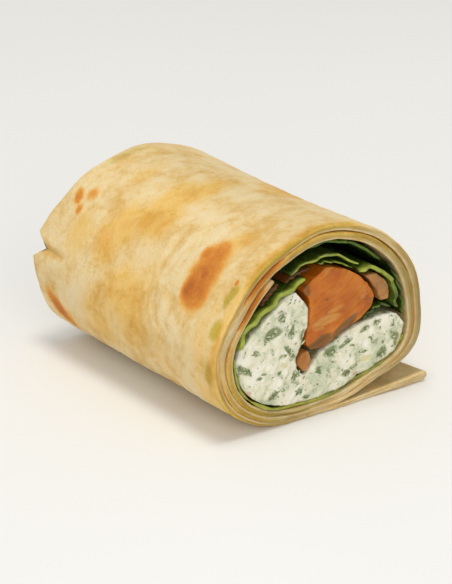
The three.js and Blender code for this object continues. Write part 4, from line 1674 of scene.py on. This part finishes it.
@dataclass
class Lettuce:
    """The leaves of lettuce round the salmon and under the cream."""

    top_directions: Numbers = (118, 34)
    top_room: float = 0.15  # more than its clearance, for its waves
    side_directions: Numbers = (30.5, -5)
    lining_directions: Numbers = (182, 343)
    lining_outwards: float = 0.25  # how much nearer to the flatbread than the solid, so no gap shows

    def along_hollow(
        self, directions: Numbers, depth: float, thickness: float, steps: int
    ) -> tuple[Numbers, ...]:
        """Points along the inside of the hollow.

        Args:
            directions: The first and last direction, in degrees.
            depth: How far inside the wall, in mm.
            thickness: The leaf's thickness, in mm.
            steps: How many spans.

        Returns:
            x, z and thickness of each point.
        """
        return tuple(
            (*FORM.inside_hollow(lerp(*directions, n / steps), depth), thickness) for n in range(steps + 1)
        )

    def build(self) -> dict[str, bpy.types.Object]:
        """Make the leaves.

        Returns:
            Each leaf by the name of the solid that it stands for.
        """

        def even(thickness: float, *points: Numbers) -> tuple[Numbers, ...]:
            """The points with one thickness."""
            return tuple((*point, thickness) for point in points)

        top_depth = CLEARANCE + TOP_LEAF_THICKNESS / 2 + self.top_room
        side_depth = CLEARANCE + FACET_ALLOWANCE + SIDE_LEAF_THICKNESS / 2
        lining_depth = LINING_DEPTH - self.lining_outwards
        leaves = {
            # leaf_top fills the dark band under the top, which is partly shadow; it and the side and under
            # leaves carry painted shade
            "leaf_top": ThinSheet(
                self.along_hollow(self.top_directions, top_depth, TOP_LEAF_THICKNESS, 8),
                -2.2, -1.6, DEEP_SHADE_LETTUCE, 0.12,
            ),
            "leaf_bright": ThinSheet(
                even(0.9, (-7, 36.8), (-3.6, 38.2), (0, 39), (4, 38.9), (8, 37.4), (12, 34.9)),
                0.1, 0.0, SHADED_LETTUCE, 0.22, ruffle=0.22, edge_tones=(0.5, 0.8, 0.85, 0.8, 0.9, 1.0),
            ),
            "leaf_inner": ThinSheet(
                even(0.7, (1.8, 37), (5, 36.8), (8.5, 35.4), (11, 33.9)), -1.0, -0.6, GREEN_LETTUCE, 0.1
            ),
            "leaf_left": ThinSheet(
                even(1.3, (-20.6, 21.9), (-17.8, 26.3), (-15, 28.4), (-12, 29.8), (-8, 32.3), (-2.4, 34.5)),
                -0.5, -0.4, BRIGHT_LETTUCE, 0.12, thin_edge=0.85, edge_fade=2.0,
            ),
            "leaf_right": ThinSheet(
                even(1.1, (12.8, 32.9), (16.4, 32.7), (18.9, 31.4), (21.2, 29), (22.8, 26.4), (23.8, 21.2)),
                -0.3, 0.0, BRIGHT_LETTUCE, 0.12, ruffle=0.22, thin_edge=0.8, edge_fade=0.9,
                edge_tones=(1.0, 1.0, 0.9, 0.6, 0.4, 0.3),
            ),
            "leaf_side": ThinSheet(
                self.along_hollow(self.side_directions, side_depth, SIDE_LEAF_THICKNESS, 8),
                -0.9, -0.7, DEEP_SHADE_LETTUCE, ruffle=0.08, edge_tones=(0.1, 0.2, 0.9, 0.3, 1.0, 0.8),
            ),
            "leaf_under": ThinSheet(
                even(1.1, (14.4, 20.5), (16.4, 21.4), (18.7, 22.3), (20.8, 22.3), (22.2, 21.5)),
                -0.9, -1.0, DEEP_SHADE_LETTUCE, 0.1, edge_tones=(0.6, 0.2, 0.9, 0.4, 0.8),
            ),
            "leaf_lining": ThinSheet(
                self.along_hollow(self.lining_directions, lining_depth, LINING_THICKNESS, 20),
                -0.5, -0.5, LINING_LETTUCE, ruffle=0.04, thin_edge=1.0, uneven=0.8,
                edge_tones=(1.0, 0.9, 1.0, 0.9, 1.0, 0.8, 0.2, 0.7, 0.4, 0.9),
            ),
        }
        for seed, leaf in enumerate(leaves.values()):
            leaf.seed = float(seed)
        return {name: leaf.build(name.replace("leaf_", "lettuce_")) for name, leaf in leaves.items()}


# ------------------------------------------------------------------ the studio


@dataclass
class Studio:
    """A pale table, soft light from all round and the photograph's point of view."""

    azimuth: float = -37.0
    elevation: float = 24.7
    distance: float = 0.650
    cut_target: Vector = field(default_factory=lambda: Vector((-0.00064, -0.0347, 0.0223)))
    aim: Vector = field(default_factory=lambda: Vector((-0.0035, -0.004, 0.0205)))
    lens: float = 178.0
    clip_start: float = 0.01
    floor_size: float = 4.0
    floor_cells: int = 8
    room_glow: float = 0.6
    room_colour: str = "#F4F4F2"

    def floor(self) -> None:
        """Lay the table."""
        table = bmesh.new()
        cells = self.floor_cells
        bmesh.ops.create_grid(table, x_segments=cells, y_segments=cells, size=self.floor_size / 2)
        add_piece("studio_table", table, [PaleFloor()])

    def camera(self) -> None:
        """Stand the camera where the photograph was taken from, with a longer lens."""
        turn, lift = math.radians(self.azimuth), math.radians(self.elevation)
        back = Vector((math.sin(turn) * math.cos(lift), -math.cos(turn) * math.cos(lift), math.sin(lift)))
        eye = self.cut_target + back * self.distance
        data = bpy.data.cameras.new("camera")
        data.lens = self.lens
        data.clip_start = self.clip_start
        camera = bpy.data.objects.new("camera", data)
        camera.location = eye
        camera.rotation_euler = (self.aim - eye).to_track_quat("-Z", "Y").to_euler()
        bpy.context.scene.collection.objects.link(camera)
        bpy.context.scene.camera = camera

    def light(self, name: str, place: Numbers, size: float, watts: float, colour: str) -> None:
        """Hang one soft light that points at the food.

        Args:
            name: The light's name.
            place: Where it hangs, in metres.
            size: The side of its square, in metres.
            watts: Its power.
            colour: Its hex colour.
        """
        data = bpy.data.lights.new(name, "AREA")
        data.size = size
        data.energy = watts
        data.color = linear(colour)[:3]
        lamp = bpy.data.objects.new(name, data)
        lamp.location = place
        lamp.rotation_euler = (self.aim - Vector(place)).to_track_quat("-Z", "Y").to_euler()
        bpy.context.scene.collection.objects.link(lamp)

    def lights(self) -> None:
        """Hang the lights and set the glow of the room."""
        self.light("key", (-0.08, -0.05, 0.9), 0.28, 3.3, "#FFFBF2")
        self.light("fill", (-0.35, -0.75, 0.4), 0.6, 2.4, "#FFFFFF")
        world = bpy.data.worlds.new("room")
        world.use_nodes = True
        feed(world.node_tree.nodes["Background"], {"Color": self.room_colour, "Strength": self.room_glow})
        bpy.context.scene.world = world
        bpy.context.scene.view_settings.view_transform = "Standard"


# ------------------------------------------------------------------ the whole

SLOTS: dict[str, tuple[str, ...]] = {  # the solids in each material slot
    "flatbread": ("tortilla",),
    "cream": ("herb_cream",),
    "salmon": ("salmon_main", "salmon_drop", "salmon_flake"),
    "dark_salmon": ("salmon_sliver_left", "salmon_sliver_upper"),
    "lettuce": ("leaf_bright", "leaf_inner", "leaf_left", "leaf_right", "leaf_lining"),
    "dark_lettuce": ("leaf_top", "leaf_side", "leaf_under"),
}


def main() -> None:
    """Build the studio and every piece of the food, and settle each on the part."""
    logging.basicConfig(level=logging.INFO, format="%(name)s %(message)s")
    studio = Studio()
    studio.camera()
    studio.lights()
    studio.floor()
    pieces = {"tortilla": Flatbread().build(), "herb_cream": HerbCream().build()}
    pieces |= Salmon().build()
    pieces |= Lettuce().build()
    slots = {node: slot for slot, nodes in SLOTS.items() for node in nodes}
    for node, piece in pieces.items():
        settle(piece, slots[node], node)
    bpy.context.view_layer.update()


if __name__ == "__main__":
    main()
